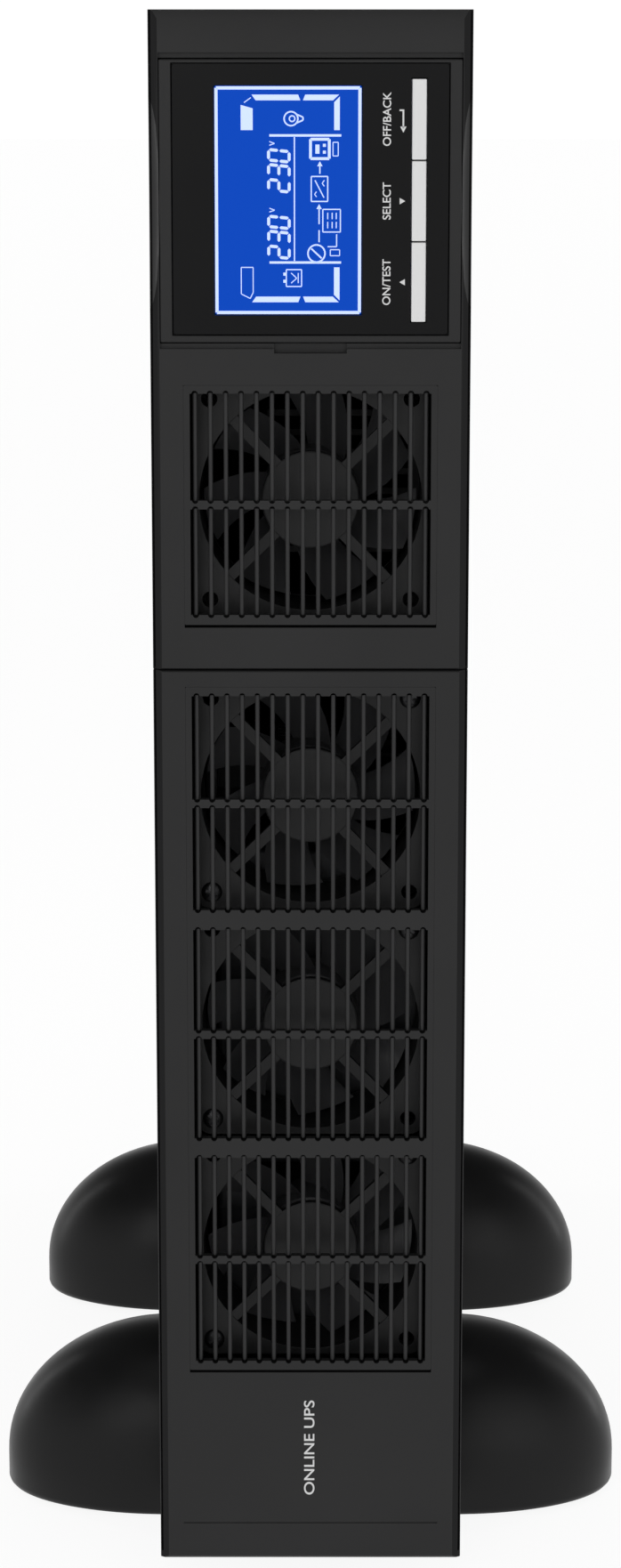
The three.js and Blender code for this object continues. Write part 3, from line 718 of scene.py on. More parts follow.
def make_lower_bezel():
    node = "lower_bezel"
    low, high = LOW[node].z, HIGH[node].z
    bezel = bezel_solid("lower_bezel_moulding", low, high, (0.4 * MM, 0.5 * MM), (0.9 * MM, 0.9 * MM))
    step = 11.3 * MM
    line = 0.35 * MM
    carve_boxes(bezel, [
        bezel_hollow(low, high),
        ((-36.5 * MM, FACE - MM, low + step - line), (36.5 * MM, FACE + 0.3 * MM, low + step)),
    ])
    finish_bezel(bezel, node)


# ---------------------------------------------------------------- grilles

RIB_COUNT = 16
RIB_PITCH = 4.18 * MM
RIB_WIDTH = 1.25 * MM
NOTCH = 0.85 * MM                    # radius of the round notch at a rib's end
CROSSBAR = 2.4 * MM                  # between the two rows of one window
WINDOW_HALF = 32.7 * MM
WINDOW_HEIGHT = 62.2 * MM
RIB_SETBACK = 1.0 * MM


def rib_places():
    """The ribs' places across a window."""
    return [(i - (RIB_COUNT - 1) / 2) * RIB_PITCH for i in range(RIB_COUNT)]


def row_outline(low, high):
    """One row's opening, with a round notch above and below each rib."""
    points = []
    for x in rib_places():
        points += circle(NOTCH, 7, (x, low), math.pi, 2 * math.pi)
    points = [(-WINDOW_HALF, low), *points, (WINDOW_HALF, low), (WINDOW_HALF, high)]
    for x in reversed(rib_places()):
        points += circle(NOTCH, 7, (x, high), 0, math.pi)
    return [*points, (-WINDOW_HALF, high)]


def plate_with_holes(name, outer, holes, front, back):
    """A flat plate in X and Z with shaped openings, from front to back along Y."""
    curve = bpy.data.curves.new(name, "CURVE")
    curve.dimensions = "2D"
    curve.fill_mode = "BOTH"
    curve.extrude = (back - front) / 2
    for points in [outer, *holes]:
        spline = add_polyline(curve, [(u, v, 0) for u, v in points])
        spline.use_cyclic_u = True
    mesh = mesh_from_curve(name, curve)
    mesh.transform(Matrix.Translation((0, (front + back) / 2, 0)) @ Matrix.Rotation(math.pi / 2, 4, "X"))
    bm = bmesh.new()
    bm.from_mesh(mesh)
    bpy.data.meshes.remove(mesh)
    bmesh.ops.remove_doubles(bm, verts=bm.verts, dist=1e-7)
    return object_from(bm, name)


def window_rows(fan_nodes):
    """The span in Z of each row of ribs: two rows in front of each fan."""
    rows = []
    for node in fan_nodes:
        centre = middle(node).z
        rows.append((centre + CROSSBAR / 2, centre + WINDOW_HEIGHT / 2 - NOTCH))
        rows.append((centre - WINDOW_HEIGHT / 2 + NOTCH, centre - CROSSBAR / 2))
    return rows


def rib_section():
    """A rib seen from above: a half-round front and straight flanks."""
    half = RIB_WIDTH / 2
    front = FACE + RIB_SETBACK
    nose = circle(half, 9, (0, front + half), math.pi, 2 * math.pi)
    return [*nose, (half, front + 2.6 * MM), (-half, front + 2.6 * MM)]


def make_grille(node, fan_nodes):
    low, high = LOW[node], HIGH[node]
    rows = window_rows(fan_nodes)
    outer = rounded_rectangle((low.x, low.z + 0.2 * MM), (high.x, high.z), 0.4 * MM)
    front = FACE - 0.02 * MM
    plate = plate_with_holes(node + "_plate", outer, [row_outline(*row) for row in rows], front, high.y)
    soften(plate, 0.08, 2, 60)
    place(plate, BODY_OF[node], "grille_plastic", "bezel", (node,))
    bm = bmesh.new()
    section = rib_section()
    web_half = RIB_WIDTH * 0.35
    for x in rib_places():
        for row_low, row_high in rows:
            add_prism(bm, [(x + u, v) for u, v in section], along_z, row_low - 0.1 * MM, row_high + 0.1 * MM)
        # A slim web behind the ribs ties the rows together.
        add_box(
            bm,
            (x - web_half, FACE + RIB_SETBACK + 2.4 * MM, low.z + MM),
            (x + web_half, FACE + RIB_SETBACK + 3.3 * MM, high.z - MM),
        )
    ribs = shade(object_from(bm, node + "_ribs"), math.radians(50))
    place(ribs, BODY_OF[node], "grille_plastic", "rib", (node,))


# ---------------------------------------------------------------- fans

BLADE_COUNT = 7
BLADE_ROWS = 7                       # points from hub to tip
BLADE_COLUMNS = 9                    # points from one long edge to the other
BLADE_THICKNESS = 0.5 * MM           # on each side of the blade's middle
FAN_BORE = 30.6 * MM
FAN_HUB = 13.5 * MM
STRUT_DEPTH = 2.4 * MM


def add_struts(bm, front):
    """Four slanted struts that carry the motor plate."""
    for turn in range(4):
        angle = math.radians(32 + 90 * turn)
        side = Vector((math.cos(angle), math.sin(angle)))
        across = Vector((-math.sin(angle), math.cos(angle)))
        start = side * (FAN_HUB - MM) + across * 2.5 * MM
        end = side * (FAN_BORE + 0.6 * MM) + across * 6.5 * MM
        direction = (end - start).normalized()
        flat = Vector((-direction.y, direction.x)) * 1.5 * MM
        outline = [start - flat, end - flat, end + flat, start + flat]
        add_prism(bm, outline, along_y, front + 0.3 * MM, front + STRUT_DEPTH)


def make_fan_frame(index):
    """A square housing: front and back flanges round a tube, with a motor plate on slanted struts."""
    node = f"fan_frame_{index}"
    low, high = LOW[node], HIGH[node]
    centre = middle(node)
    half = (high.x - low.x) / 2
    outer = rounded_rectangle((-half, -half), (half, half), 4 * MM, 6)
    screw_at = half - 4.6 * MM
    holes = [circle(FAN_BORE, 72)]
    for u in (-1, 1):
        for v in (-1, 1):
            holes.append(circle(2.15 * MM, 20, (u * screw_at, v * screw_at)))
    flange = 3.2 * MM
    parts = []
    for front, back in ((low.y, low.y + flange), (high.y - flange, high.y)):
        part = plate_with_holes(f"{node}_flange", outer, holes, front, back)
        parts.append(soften(part, 0.3, 2, 60))
    rim = circle(FAN_BORE + 1.6 * MM, 72)
    tube = plate_with_holes(f"{node}_tube", rim, [circle(FAN_BORE, 72)], low.y + flange, high.y - flange)
    parts.append(shade(tube))
    bm = bmesh.new()
    plate = [
        (0, low.y + 0.2 * MM),
        (FAN_HUB - 0.5 * MM, low.y + 0.2 * MM),
        (FAN_HUB - 0.15 * MM, low.y + 0.35 * MM),
        (FAN_HUB, low.y + 0.7 * MM),
        (FAN_HUB, low.y + STRUT_DEPTH),
        (0, low.y + STRUT_DEPTH),
    ]
    add_lathe(bm, plate, 48, along_y)
    add_struts(bm, low.y)
    parts.append(shade(object_from(bm, f"{node}_motor")))
    housing = join_meshes(f"fan_housing_{index}", parts)
    housing.data.transform(Matrix.Translation((0, 0, centre.z)))
    place(housing, BODY_OF[node], "fan_plastic", "fan", (node,))


def blade_point(along, chord):
    """A point of a fan blade: along runs from hub to tip, chord across it. The pitch flattens outwards."""
    radius = FAN_HUB * 0.96 + (FAN_BORE - 1.1 * MM - FAN_HUB * 0.96) * along
    pitch = math.radians(46 - 16 * along)
    length = (15.5 + 3.5 * along) * MM
    camber = 1.5 * MM * (1 - (2 * chord - 1) ** 2)
    reach = (chord - 0.5) * length
    sweep = 0.34 * along + reach * math.cos(pitch) / radius
    depth = reach * math.sin(pitch) + camber
    return radius * math.cos(sweep), depth, radius * math.sin(sweep)


def blade_sheet(bm, turn, depth, thickness):
    """One face of a blade as a grid of points. The thickness runs out towards its two long edges."""
    grid = []
    for i in range(BLADE_ROWS):
        line = []
        for j in range(BLADE_COLUMNS):
            chord = j / (BLADE_COLUMNS - 1)
            x, y, z = blade_point(i / (BLADE_ROWS - 1), chord)
            edge = 1 - abs(2 * chord - 1) ** 4
            line.append(bm.verts.new(turn @ Vector((x, depth + y + thickness * edge, z))))
        grid.append(line)
    return grid


def add_blade(bm, turn, depth):
    """A closed blade: two sheets with a strip of faces all the way round their border."""
    rows, columns = BLADE_ROWS, BLADE_COLUMNS
    front_sheet = blade_sheet(bm, turn, depth, -BLADE_THICKNESS)
    back_sheet = blade_sheet(bm, turn, depth, BLADE_THICKNESS)
    for i in range(rows - 1):
        for j in range(columns - 1):
            for grid in (front_sheet, back_sheet):
                corners = (grid[i][j], grid[i + 1][j], grid[i + 1][j + 1], grid[i][j + 1])
                bm.faces.new(corners if grid is front_sheet else corners[::-1])
    border = [(0, j) for j in range(columns)]
    border += [(i, columns - 1) for i in range(1, rows)]
    border += [(rows - 1, j) for j in range(columns - 2, -1, -1)]
    border += [(i, 0) for i in range(rows - 2, 0, -1)]
    for (i, j), (k, m) in zip(border, border[1:] + border[:1]):
        bm.faces.new((front_sheet[i][j], back_sheet[i][j], back_sheet[k][m], front_sheet[k][m]))


def make_fan_rotor(index):
    node = f"fan_rotor_{index}"
    low, high = LOW[node], HIGH[node]
    centre = middle(node)
    front, back = low.y, high.y
    bm = bmesh.new()
    hub = [
        (0, front), (FAN_HUB - 2.2 * MM, front), (FAN_HUB - 0.8 * MM, front + 0.4 * MM),
        (FAN_HUB, front + 1.4 * MM), (FAN_HUB, back - 0.5 * MM), (FAN_HUB - 0.5 * MM, back), (0, back),
    ]
    add_lathe(bm, hub, 48, along_y)
    for blade in range(BLADE_COUNT):
        turn = Matrix.Rotation(-2 * math.pi * (blade + 0.35 * index) / BLADE_COUNT, 4, "Y")
        add_blade(bm, turn, (front + back) / 2)
    bmesh.ops.remove_doubles(bm, verts=bm.verts, dist=1e-6)
    rotor = shade(object_from(bm, f"fan_blades_{index}"), math.radians(45))
    rotor.data.transform(Matrix.Translation((0, 0, centre.z)))
    # The blades take the lighter blade paint, painted light, while the housing keeps the plain fan plastic.
    place(rotor, BODY_OF[node], "fan_plastic", "blade", (node,))


# ---------------------------------------------------------------- control panel

PANEL = "control_panel"
FRAME_LOW, FRAME_HIGH = LOW["panel_frame"], HIGH["panel_frame"]
LCD_LOW, LCD_HIGH = LOW["lcd_panel"], HIGH["lcd_panel"]
KEY_SLOT_LOW = LOW["button_on"]
KEY_SLOT_HIGH = HIGH["button_off"]
RIM = 3.3 * MM
WINDOW_FACE = FACE + 0.2 * MM
GLASS_FACE = FACE + 0.55 * MM


def make_panel_frame():
    low, high = FRAME_LOW, FRAME_HIGH
    bm = bmesh.new()
    add_box(bm, low, high)
    body = soften(object_from(bm, "panel_frame_moulding"), 0.45, 3)
    skin = 2 * MM
    slack = 0.6 * MM
    carve_boxes(body, [
        (
            (low.x + RIM, low.y - MM, low.z + 1.9 * MM),
            (high.x - RIM, low.y + 2 * MM, high.z - 0.9 * MM),
        ),
        (
            (low.x + skin, low.y + 4 * MM, low.z + skin),
            (high.x - skin, high.y + MM, high.z - skin),
        ),
        (
            (LCD_LOW.x - slack, low.y, LCD_LOW.z - slack),
            (LCD_HIGH.x + slack, low.y + 5 * MM, LCD_HIGH.z + slack),
        ),
        (
            (KEY_SLOT_LOW.x + 0.8 * MM, low.y, KEY_SLOT_LOW.z - 0.4 * MM),
            (KEY_SLOT_HIGH.x - 0.8 * MM, low.y + 5 * MM, KEY_SLOT_HIGH.z + 0.4 * MM),
        ),
    ])
    soften(body, 0.14, 1, 60)
    place(body, PANEL, "bezel_plastic", "bezel", ("panel_frame",))


def make_display_window():
    low, high = LOW["display_window"], HIGH["display_window"]
    gap = 0.3 * MM
    key_low = KEY_SLOT_LOW.x + 1.3 * MM
    key_high = KEY_SLOT_HIGH.x - 1.3 * MM
    holes = [
        rounded_rectangle((LCD_LOW.x - gap, LCD_LOW.z - gap), (LCD_HIGH.x + gap, LCD_HIGH.z + gap), 0.4 * MM),
        rounded_rectangle(
            (key_low - gap, KEY_SLOT_LOW.z - gap), (key_high + gap, KEY_SLOT_HIGH.z + gap), 0.3 * MM
        ),
    ]
    outer = rounded_rectangle((low.x, low.z), (high.x, high.z), 0.8 * MM)
    window = plate_with_holes("display_window_panel", outer, holes, low.y, high.y)
    soften(window, 0.12, 2, 60)
    place(window, PANEL, "window_plastic", "gloss", ("display_window",))


def make_glass():
    bm = bmesh.new()
    add_box(bm, (LCD_LOW.x, GLASS_FACE, LCD_LOW.z), LCD_HIGH)
    glass = soften(object_from(bm, "display_glass"), 0.12)
    place(glass, PANEL, "screen", "screen", ("lcd_panel",))


# The display is read with the case lying on its side: along runs up the case from the screen's
# low end, and down runs from its left edge to its right edge. Both are in millimetres.
SCREEN_LONG = (LCD_HIGH.z - LCD_LOW.z) / MM
SCREEN_WIDE = (LCD_HIGH.x - LCD_LOW.x) / MM
INK_BACK = GLASS_FACE + 0.02 * MM
INK_FRONT = GLASS_FACE - 0.08 * MM


def on_screen(along, down, y):
    return LCD_LOW.x + down * MM, y, LCD_LOW.z + along * MM


class Ink:
    """Flat shapes on the display, drawn in its own reading directions."""

    def __init__(self):
        self.bm = bmesh.new()

    def shape(self, points):
        add_prism(self.bm, points, on_screen, INK_FRONT, INK_BACK)

    def bar(self, start, end, width):
        (a0, d0), (a1, d1) = start, end
        length = math.hypot(a1 - a0, d1 - d0)
        along, down = (a1 - a0) / length * width / 2, (d1 - d0) / length * width / 2
        self.shape([
            (a0 - down, d0 + along),
            (a1 - down, d1 + along),
            (a1 + down, d1 - along),
            (a0 + down, d0 - along),
        ])

    def path(self, points, width, closed=False):
        corners = [*points, points[0]] if closed else points
        for start, end in zip(corners, corners[1:]):
            self.bar(start, end, width)

    def block(self, low, high):
        (a0, d0), (a1, d1) = low, high
        self.shape([(a0, d0), (a1, d0), (a1, d1), (a0, d1)])

    def box(self, low, high, width):
        (a0, d0), (a1, d1) = low, high
        self.path([(a0, d0), (a1, d0), (a1, d1), (a0, d1)], width, closed=True)

    def ring(self, centre, radius, width):
        self.path(circle(radius, 21, centre, 0, math.radians(359.99)), width)

    def arrow(self, tip, size):
        along, down = tip
        self.shape([(along, down), (along - size, down - size * 0.55), (along - size, down + size * 0.55)])

    def piece(self, name, key):
        place(object_from(self.bm, name), PANEL, "screen", key)


SEGMENTS = {"0": "abcdef", "2": "abged", "3": "abgcd"}


def seven_segment(ink, digit, left, top, wide, tall, stroke):
    """One digit made of up to seven tapered bars, leaning a little to the right."""
    half = tall / 2
    gap = stroke * 0.16
    bars = {
        "a": ((gap, 0), (wide - gap, 0)),
        "g": ((gap, half), (wide - gap, half)),
        "d": ((gap, tall), (wide - gap, tall)),
        "f": ((0, gap), (0, half - gap)),
        "b": ((wide, gap), (wide, half - gap)),
        "e": ((0, half + gap), (0, tall - gap)),
        "c": ((wide, half + gap), (wide, tall - gap)),
    }
    lean = 0.1
    for name in SEGMENTS[digit]:
        (a0, d0), (a1, d1) = bars[name]
        start = (left + a0 + (tall - d0) * lean, top + d0)
        end = (left + a1 + (tall - d1) * lean, top + d1)
        length = math.hypot(end[0] - start[0], end[1] - start[1])
        along = ((end[0] - start[0]) / length, (end[1] - start[1]) / length)
        across = (-along[1], along[0])
        half_stroke = stroke / 2
        outline = []
        for reach, side in ((0, 0), (half_stroke, 1), (length - half_stroke, 1), (length, 0),
                            (length - half_stroke, -1), (half_stroke, -1)):
            outline.append((
                start[0] + along[0] * reach + across[0] * side * half_stroke,
                start[1] + along[1] * reach + across[1] * side * half_stroke,
            ))
        ink.shape(outline)


def draw_readings(ink):
    """Two three-digit voltages, each with a small V beside it."""
    for left in (14.9, 32.5):
        for index, digit in enumerate("230"):
            seven_segment(ink, digit, left + index * 3.95, 14.4, 2.75, 5.5, 0.8)
        ink.path([(left + 12.3, 14.6), (left + 12.8, 16.0), (left + 13.3, 14.6)], 0.25)


def draw_bracket(ink, start, turn, filled):
    """A level meter at one end: a long bar, a slanted corner and a short bar on each arm."""

    def outline(points):
        return [(start + turn * along, down) for along, down in points]

    if filled:
        ink.shape(outline([(2.7, 7.0), (9.3, 7.0), (9.3, 10.2), (3.6, 10.2)]))
        ink.path(outline([(0.8, 9.7), (2.1, 7.9)]), 0.25)
    else:
        ink.path(outline([(2.2, 7.0), (9.3, 7.0), (9.3, 10.2), (2.6, 10.2), (1.0, 9.4)]), 0.25, closed=True)
    ink.shape(outline([(0, 9.9), (0, 22.3), (1.5, 22.9), (1.5, 11.0)]))
    ink.shape(outline([(0, 24.2), (0, 33.2), (1.5, 31.6), (1.5, 23.6)]))
    ink.shape(outline([(2.0, 31.9), (9.3, 31.9), (9.3, 33.4), (0.5, 33.4)]))


def draw_icons(ink):
    ink.ring((51.8, 20.4), 1.85, 0.4)
    ink.ring((51.8, 20.7), 0.75, 0.35)
    ink.path([(53.0, 21.7), (52.2, 23.6), (51.4, 23.6), (50.6, 21.7)], 0.4)
    ink.box((7.4, 19.1), (11.9, 23.2), 0.3)
    for along in (8.4, 10.3):
        ink.block((along, 18.3), (along + 0.8, 19.0))
    ink.path([(8.3, 20.4), (9.6, 21.9), (11.0, 20.4)], 0.25)
    ink.bar((8.3, 22.3), (11.0, 22.3), 0.25)


def draw_flow(ink):
    """The power path: source, converter, inverter and load, with a battery branch."""
    ink.ring((16.2, 27.2), 2.3, 0.42)
    ink.bar((14.9, 28.6), (17.5, 25.8), 0.42)
    ink.bar((19.2, 27.9), (22.4, 27.9), 0.35)
    ink.bar((24.0, 27.9), (28.6, 27.9), 0.35)
    ink.arrow((29.3, 27.9), 1.3)
    ink.box((30.0, 25.8), (36.6, 30.2), 0.32)
    ink.bar((31.0, 29.2), (35.6, 26.8), 0.3)
    ink.path([(31.2, 27.2), (31.9, 26.7), (32.6, 27.2)], 0.25)
    ink.path([(34.0, 29.3), (34.8, 28.7), (35.6, 29.3)], 0.25)
    ink.bar((37.3, 28.1), (39.6, 28.1), 0.35)
    ink.arrow((40.6, 28.1), 1.3)
    ink.box((41.3, 25.6), (46.4, 30.6), 0.75)
    ink.block((42.6, 26.9), (45.0, 28.0))
    for along in (42.9, 44.7):
        ink.block((along - 0.3, 28.9), (along + 0.5, 29.7))
    ink.box((42.0, 31.6), (45.6, 33.0), 0.25)
    ink.box((21.9, 28.9), (27.9, 33.6), 0.3)
    for down in (30.2, 31.4, 32.5):
        ink.bar((22.9, down), (24.6, down), 0.28)
        ink.bar((25.3, down), (27.0, down), 0.28)
    ink.path([(21.3, 32.6), (18.0, 32.6), (18.0, 30.2)], 0.3)
    ink.box((15.6, 30.9), (17.2, 33.4), 0.25)


def make_display():
    border = Ink()
    edge = 0.45
    border.box((edge, edge), (SCREEN_LONG - edge, SCREEN_WIDE - edge), 0.85)
    border.piece("display_border", "segment")
    ink = Ink()
    ink.bar((13.8, 14.6), (13.8, 33.8), 0.62)
    ink.bar((47.4, 14.6), (47.4, 33.8), 0.62)
    ink.bar((14.2, 21.3), (47.0, 21.3), 0.34)
    draw_bracket(ink, 3.2, 1, False)
    draw_bracket(ink, SCREEN_LONG - 2.2, -1, True)
    draw_readings(ink)
    draw_icons(ink)
    draw_flow(ink)
    ink.piece("display_segments", "segment")


CAPITAL = 1.42                       # font size over the height of its capitals


def text_mesh(name, words, height_mm, to_place, stretch=1.0):
    """Printed words as one thin mesh: along runs up the case and the tops of letters point to -X."""
    curve = bpy.data.curves.new(name, "FONT")
    curve.body = words
    curve.align_x = "CENTER"
    curve.align_y = "CENTER"
    curve.size = height_mm * MM * CAPITAL
    curve.extrude = 0.04 * MM
    curve.offset = 0.035 * MM
    mesh = mesh_from_curve(name, curve)
    turn = Matrix(((0, -1, 0, 0), (0, 0, -1, 0), (1, 0, 0, 0), (0, 0, 0, 1)))
    mesh.transform(Matrix.Translation(to_place) @ turn @ Matrix.Diagonal((stretch, 1, 1, 1)))
    obj = bpy.data.objects.new(name, mesh)
    bpy.context.scene.collection.objects.link(obj)
    return obj


LABEL_X = 20.5 * MM                  # the captions' middle
GLYPH_X = 24.6 * MM                  # the arrow marks' middle
PRINT_FACE = WINDOW_FACE - 0.03 * MM


def make_labels():
    captions = {"button_off": "OFF/BACK", "button_select": "SELECT", "button_on": "ON/TEST"}
    for node, words in captions.items():
        label = text_mesh(f"label_{node}", words, 2.15, (LABEL_X, PRINT_FACE, middle(node).z))
        place(label, PANEL, "window_plastic", "print")
    make_key_marks()
    name_plate = text_mesh(
        "front_label", "ONLINE UPS", 2.95, (-0.2 * MM, FACE - 0.02 * MM, BASE + 34 * MM), stretch=1.24
    )
    place(name_plate, BODY_OF["lower_bezel"], "bezel_plastic", "print")


def add_mark(bm, points):
    """A flat printed shape on the window."""
    add_prism(bm, points, along_y, PRINT_FACE - 0.04 * MM, PRINT_FACE + 0.06 * MM)


def add_triangle(bm, z, direction):
    """A solid triangle that points to +X for -1 and to -X for 1."""
    tip = 0.75 * MM * direction
    half = 0.85 * MM
    add_mark(bm, [(GLYPH_X - tip, z), (GLYPH_X + tip, z + half), (GLYPH_X + tip, z - half)])


def add_return_arrow(bm, z):
    """A bent line that ends in an arrow head."""
    width = 0.45 * MM
    start = GLYPH_X - 0.9 * MM
    outer = GLYPH_X + 0.35 * MM
    top, bottom = z + 2.6 * MM, z - 2.2 * MM
    add_mark(bm, [
        (start, top),
        (outer, top),
        (outer, bottom),
        (outer - width, bottom),
        (outer - width, top - width),
        (start, top - width),
    ])
    tip = outer - width / 2
    half = 0.85 * MM
    add_mark(bm, [(tip - half, z - 1.9 * MM), (tip + half, z - 1.9 * MM), (tip, z - 3.5 * MM)])


def make_key_marks():
    bm = bmesh.new()
    add_return_arrow(bm, middle("button_off").z)
    add_triangle(bm, middle("button_select").z, -1)
    add_triangle(bm, middle("button_on").z, 1)
    place(object_from(bm, "key_marks"), PANEL, "window_plastic", "print")


def make_key(node):
    """A long key with a softly crowned face, a flange that keeps it in and a stem."""
    low, high = LOW[node], HIGH[node]
    flange = 1.3 * MM
    face_low, face_high = low.x + flange, high.x - flange
    crown = 0.14 * MM
    section = [(face_high, low.y + 5.3 * MM), (face_low, low.y + 5.3 * MM)]
    for i in range(9):
        x = face_low + (face_high - face_low) * i / 8
        section.append((x, low.y + crown * (i / 4 - 1) ** 2))
    bm = bmesh.new()
    add_prism(bm, section, along_z, low.z, high.z)
    cap = soften(object_from(bm, f"{node}_cap"), 0.22, 3, 40)
    bm = bmesh.new()
    add_box(bm, (low.x, low.y + 4.75 * MM, low.z), (high.x, low.y + 5.85 * MM, high.z))
    add_box(
        bm,
        (face_low + 0.8 * MM, low.y + 5 * MM, low.z + 5 * MM),
        (face_high - 0.8 * MM, high.y, high.z - 5 * MM),
    )
    stem = soften(object_from(bm, f"{node}_stem"), 0.15, 1)
    key = join_meshes(f"key_{node}", [cap, stem])
    place(key, BODY_OF[node], "key_plastic", "key", (node,))


# ---------------------------------------------------------------- tower stands

FOOT_RIM = 12 * MM
FOOT_UNDERSIDE = 1.7 * MM


def half_dome(reach, half_depth, top):
    """A bmesh of half a dome on an upright rim, with a flat face where it is cut."""
    profile = [
        (0, FOOT_UNDERSIDE),
        (0.955, FOOT_UNDERSIDE),
        (0.978, FOOT_UNDERSIDE + 0.35 * MM),
        (0.992, FOOT_UNDERSIDE + 1.1 * MM),
        (1, FOOT_UNDERSIDE + 2.2 * MM),
    ]
    steps = 26
    for i in range(steps + 1):
        angle = math.pi / 2 * i / steps
        profile.append((math.cos(angle), FOOT_RIM + (top - FOOT_RIM) * math.sin(angle)))
    bm = bmesh.new()
    add_lathe(bm, profile, 96, along_z)
    bmesh.ops.transform(bm, matrix=Matrix.Diagonal((reach, half_depth, 1, 1)), verts=bm.verts)
    cut = bmesh.ops.bisect_plane(
        bm, geom=[*bm.verts, *bm.edges, *bm.faces], plane_co=(0, 0, 0), plane_no=(-1, 0, 0), clear_outer=True
    )
    edges = [item for item in cut["geom_cut"] if isinstance(item, bmesh.types.BMEdge)]
    bmesh.ops.edgeloop_fill(bm, edges=edges)
    return bm


def make_foot(node):
    """A half-dome beside the case and a tongue under it."""
    low, high = LOW[node], HIGH[node]
    side = 1 if high.x > -low.x else -1
    centre = middle(node)
    inner = HIGH["chassis_pan"].x + 0.3 * MM
    reach = max(high.x, -low.x) - inner
    bm = half_dome(reach, (high.y - low.y) / 2, high.z)
    move(bm, (inner, 0, 0))
    shell = soften(object_from(bm, f"{node}_shell"), 0.5, 3, 40)
    bm = bmesh.new()
    tongue_top = BASE + 0.3 * MM
    add_box(bm, (0.2 * MM, -20 * MM, FOOT_UNDERSIDE), (inner + 4 * MM, 20 * MM, tongue_top))
    tongue = soften(object_from(bm, f"{node}_tongue"), 0.4)
    foot = join_meshes(f"stand_{node}", [shell, tongue])
    turn = Matrix.Rotation(0 if side > 0 else math.pi, 4, "Z")
    foot.data.transform(Matrix.Translation((0, centre.y, 0)) @ turn)
    place(foot, BODY_OF[node], "foot_plastic", "foot", (node,))


# ---------------------------------------------------------------- rear fittings

REAR = HIGH["rear_panel"].y
CHASSIS = "chassis"


def clipped_outline(x, z, wide, tall, cut_x, cut_z):
    """A rectangle with two slanted corners on top."""
    return [
        (x - wide / 2, z - tall / 2),
        (x + wide / 2, z - tall / 2),
        (x + wide / 2, z + tall / 2 - cut_z),
        (x + wide / 2 - cut_x, z + tall / 2),
        (x - wide / 2 + cut_x, z + tall / 2),
        (x - wide / 2, z + tall / 2 - cut_z),
    ]


def appliance_outline(x, z, wide, tall):
    """The outline of a mains appliance coupler."""
    return clipped_outline(x, z, wide, tall, 0.21 * wide, 0.3 * tall)


def rectangle(x, z, wide, tall):
    return [
        (x - wide / 2, z - tall / 2),
        (x + wide / 2, z - tall / 2),
        (x + wide / 2, z + tall / 2),
        (x - wide / 2, z + tall / 2),
    ]


# How far each fitting's flange reaches past its cavity, across and up.
FLANGES = {
    "mains_inlet": (2.4 * MM, 2.4 * MM),
    "outlet_block_1": (1.6 * MM, 1.6 * MM),
    "outlet_block_2": (1.6 * MM, 1.6 * MM),
    "usb_port": (0.8 * MM, 0.8 * MM),
    "network_jack": (0.8 * MM, 0.8 * MM),
    "serial_port": (5 * MM, 0.8 * MM),
    "emergency_off_socket": (0.8 * MM, 0.8 * MM),
    "external_battery_socket": (1.6 * MM, 1.6 * MM),
}


def socket_housing(node, holes, depth, radius=1.2 * MM):
    """The flange outside the rear panel, the walled cavity through it and its closed back."""
    slack = 0.3 * MM
    back = 1.6 * MM
    low, high = LOW[node], HIGH[node]
    flange = FLANGES[node]
    outer = rounded_rectangle((low.x, low.z), (high.x, high.z), radius, 5)
    inner = rounded_rectangle(
        (low.x + flange[0] + slack, low.z + flange[1] + slack),
        (high.x - flange[0] - slack, high.z - flange[1] - slack),
        0.4 * MM,
    )
    plate = soften(plate_with_holes(f"{node}_flange", outer, holes, REAR + 0.1 * MM, high.y), 0.25, 2, 60)
    walls = plate_with_holes(f"{node}_walls", inner, holes, high.y - depth, REAR + 0.1 * MM)
    end = plate_with_holes(f"{node}_end", inner, [], high.y - depth - back, high.y - depth)
    return [plate, shade(walls), shade(end)]


def soft_boxes(name, boxes, width_mm=0.2):
    """Several small blocks with rounded edges, as one object."""
    bm = bmesh.new()
    for low, high in boxes:
        add_box(bm, low, high)
    return soften(object_from(bm, name), width_mm)


def around(x, y_low, y_high, z, wide, tall):
    """The two corners of a block centred on (x, z)."""
    return (x - wide / 2, y_low, z - tall / 2), (x + wide / 2, y_high, z + tall / 2)


def make_inlet():
    node = "mains_inlet"
    centre, high = middle(node), HIGH[node]
    depth = 16 * MM
    hole = appliance_outline(centre.x, centre.z, 24 * MM, 16.4 * MM)
    housing = join_meshes("mains_inlet_housing", socket_housing(node, [hole], depth))
    place(housing, CHASSIS, "socket_plastic", "socket", (node,))
    prongs = [
        around(centre.x - 7 * MM, high.y - depth, high.y - 2.4 * MM, centre.z - 2 * MM, 2 * MM, 4 * MM),
        around(centre.x + 7 * MM, high.y - depth, high.y - 2.4 * MM, centre.z - 2 * MM, 2 * MM, 4 * MM),
        around(centre.x, high.y - depth, high.y - 1.6 * MM, centre.z + 2.2 * MM, 2 * MM, 4 * MM),
    ]
    place(soft_boxes("mains_inlet_prongs", prongs, 0.45), CHASSIS, "port_shell", "nickel")


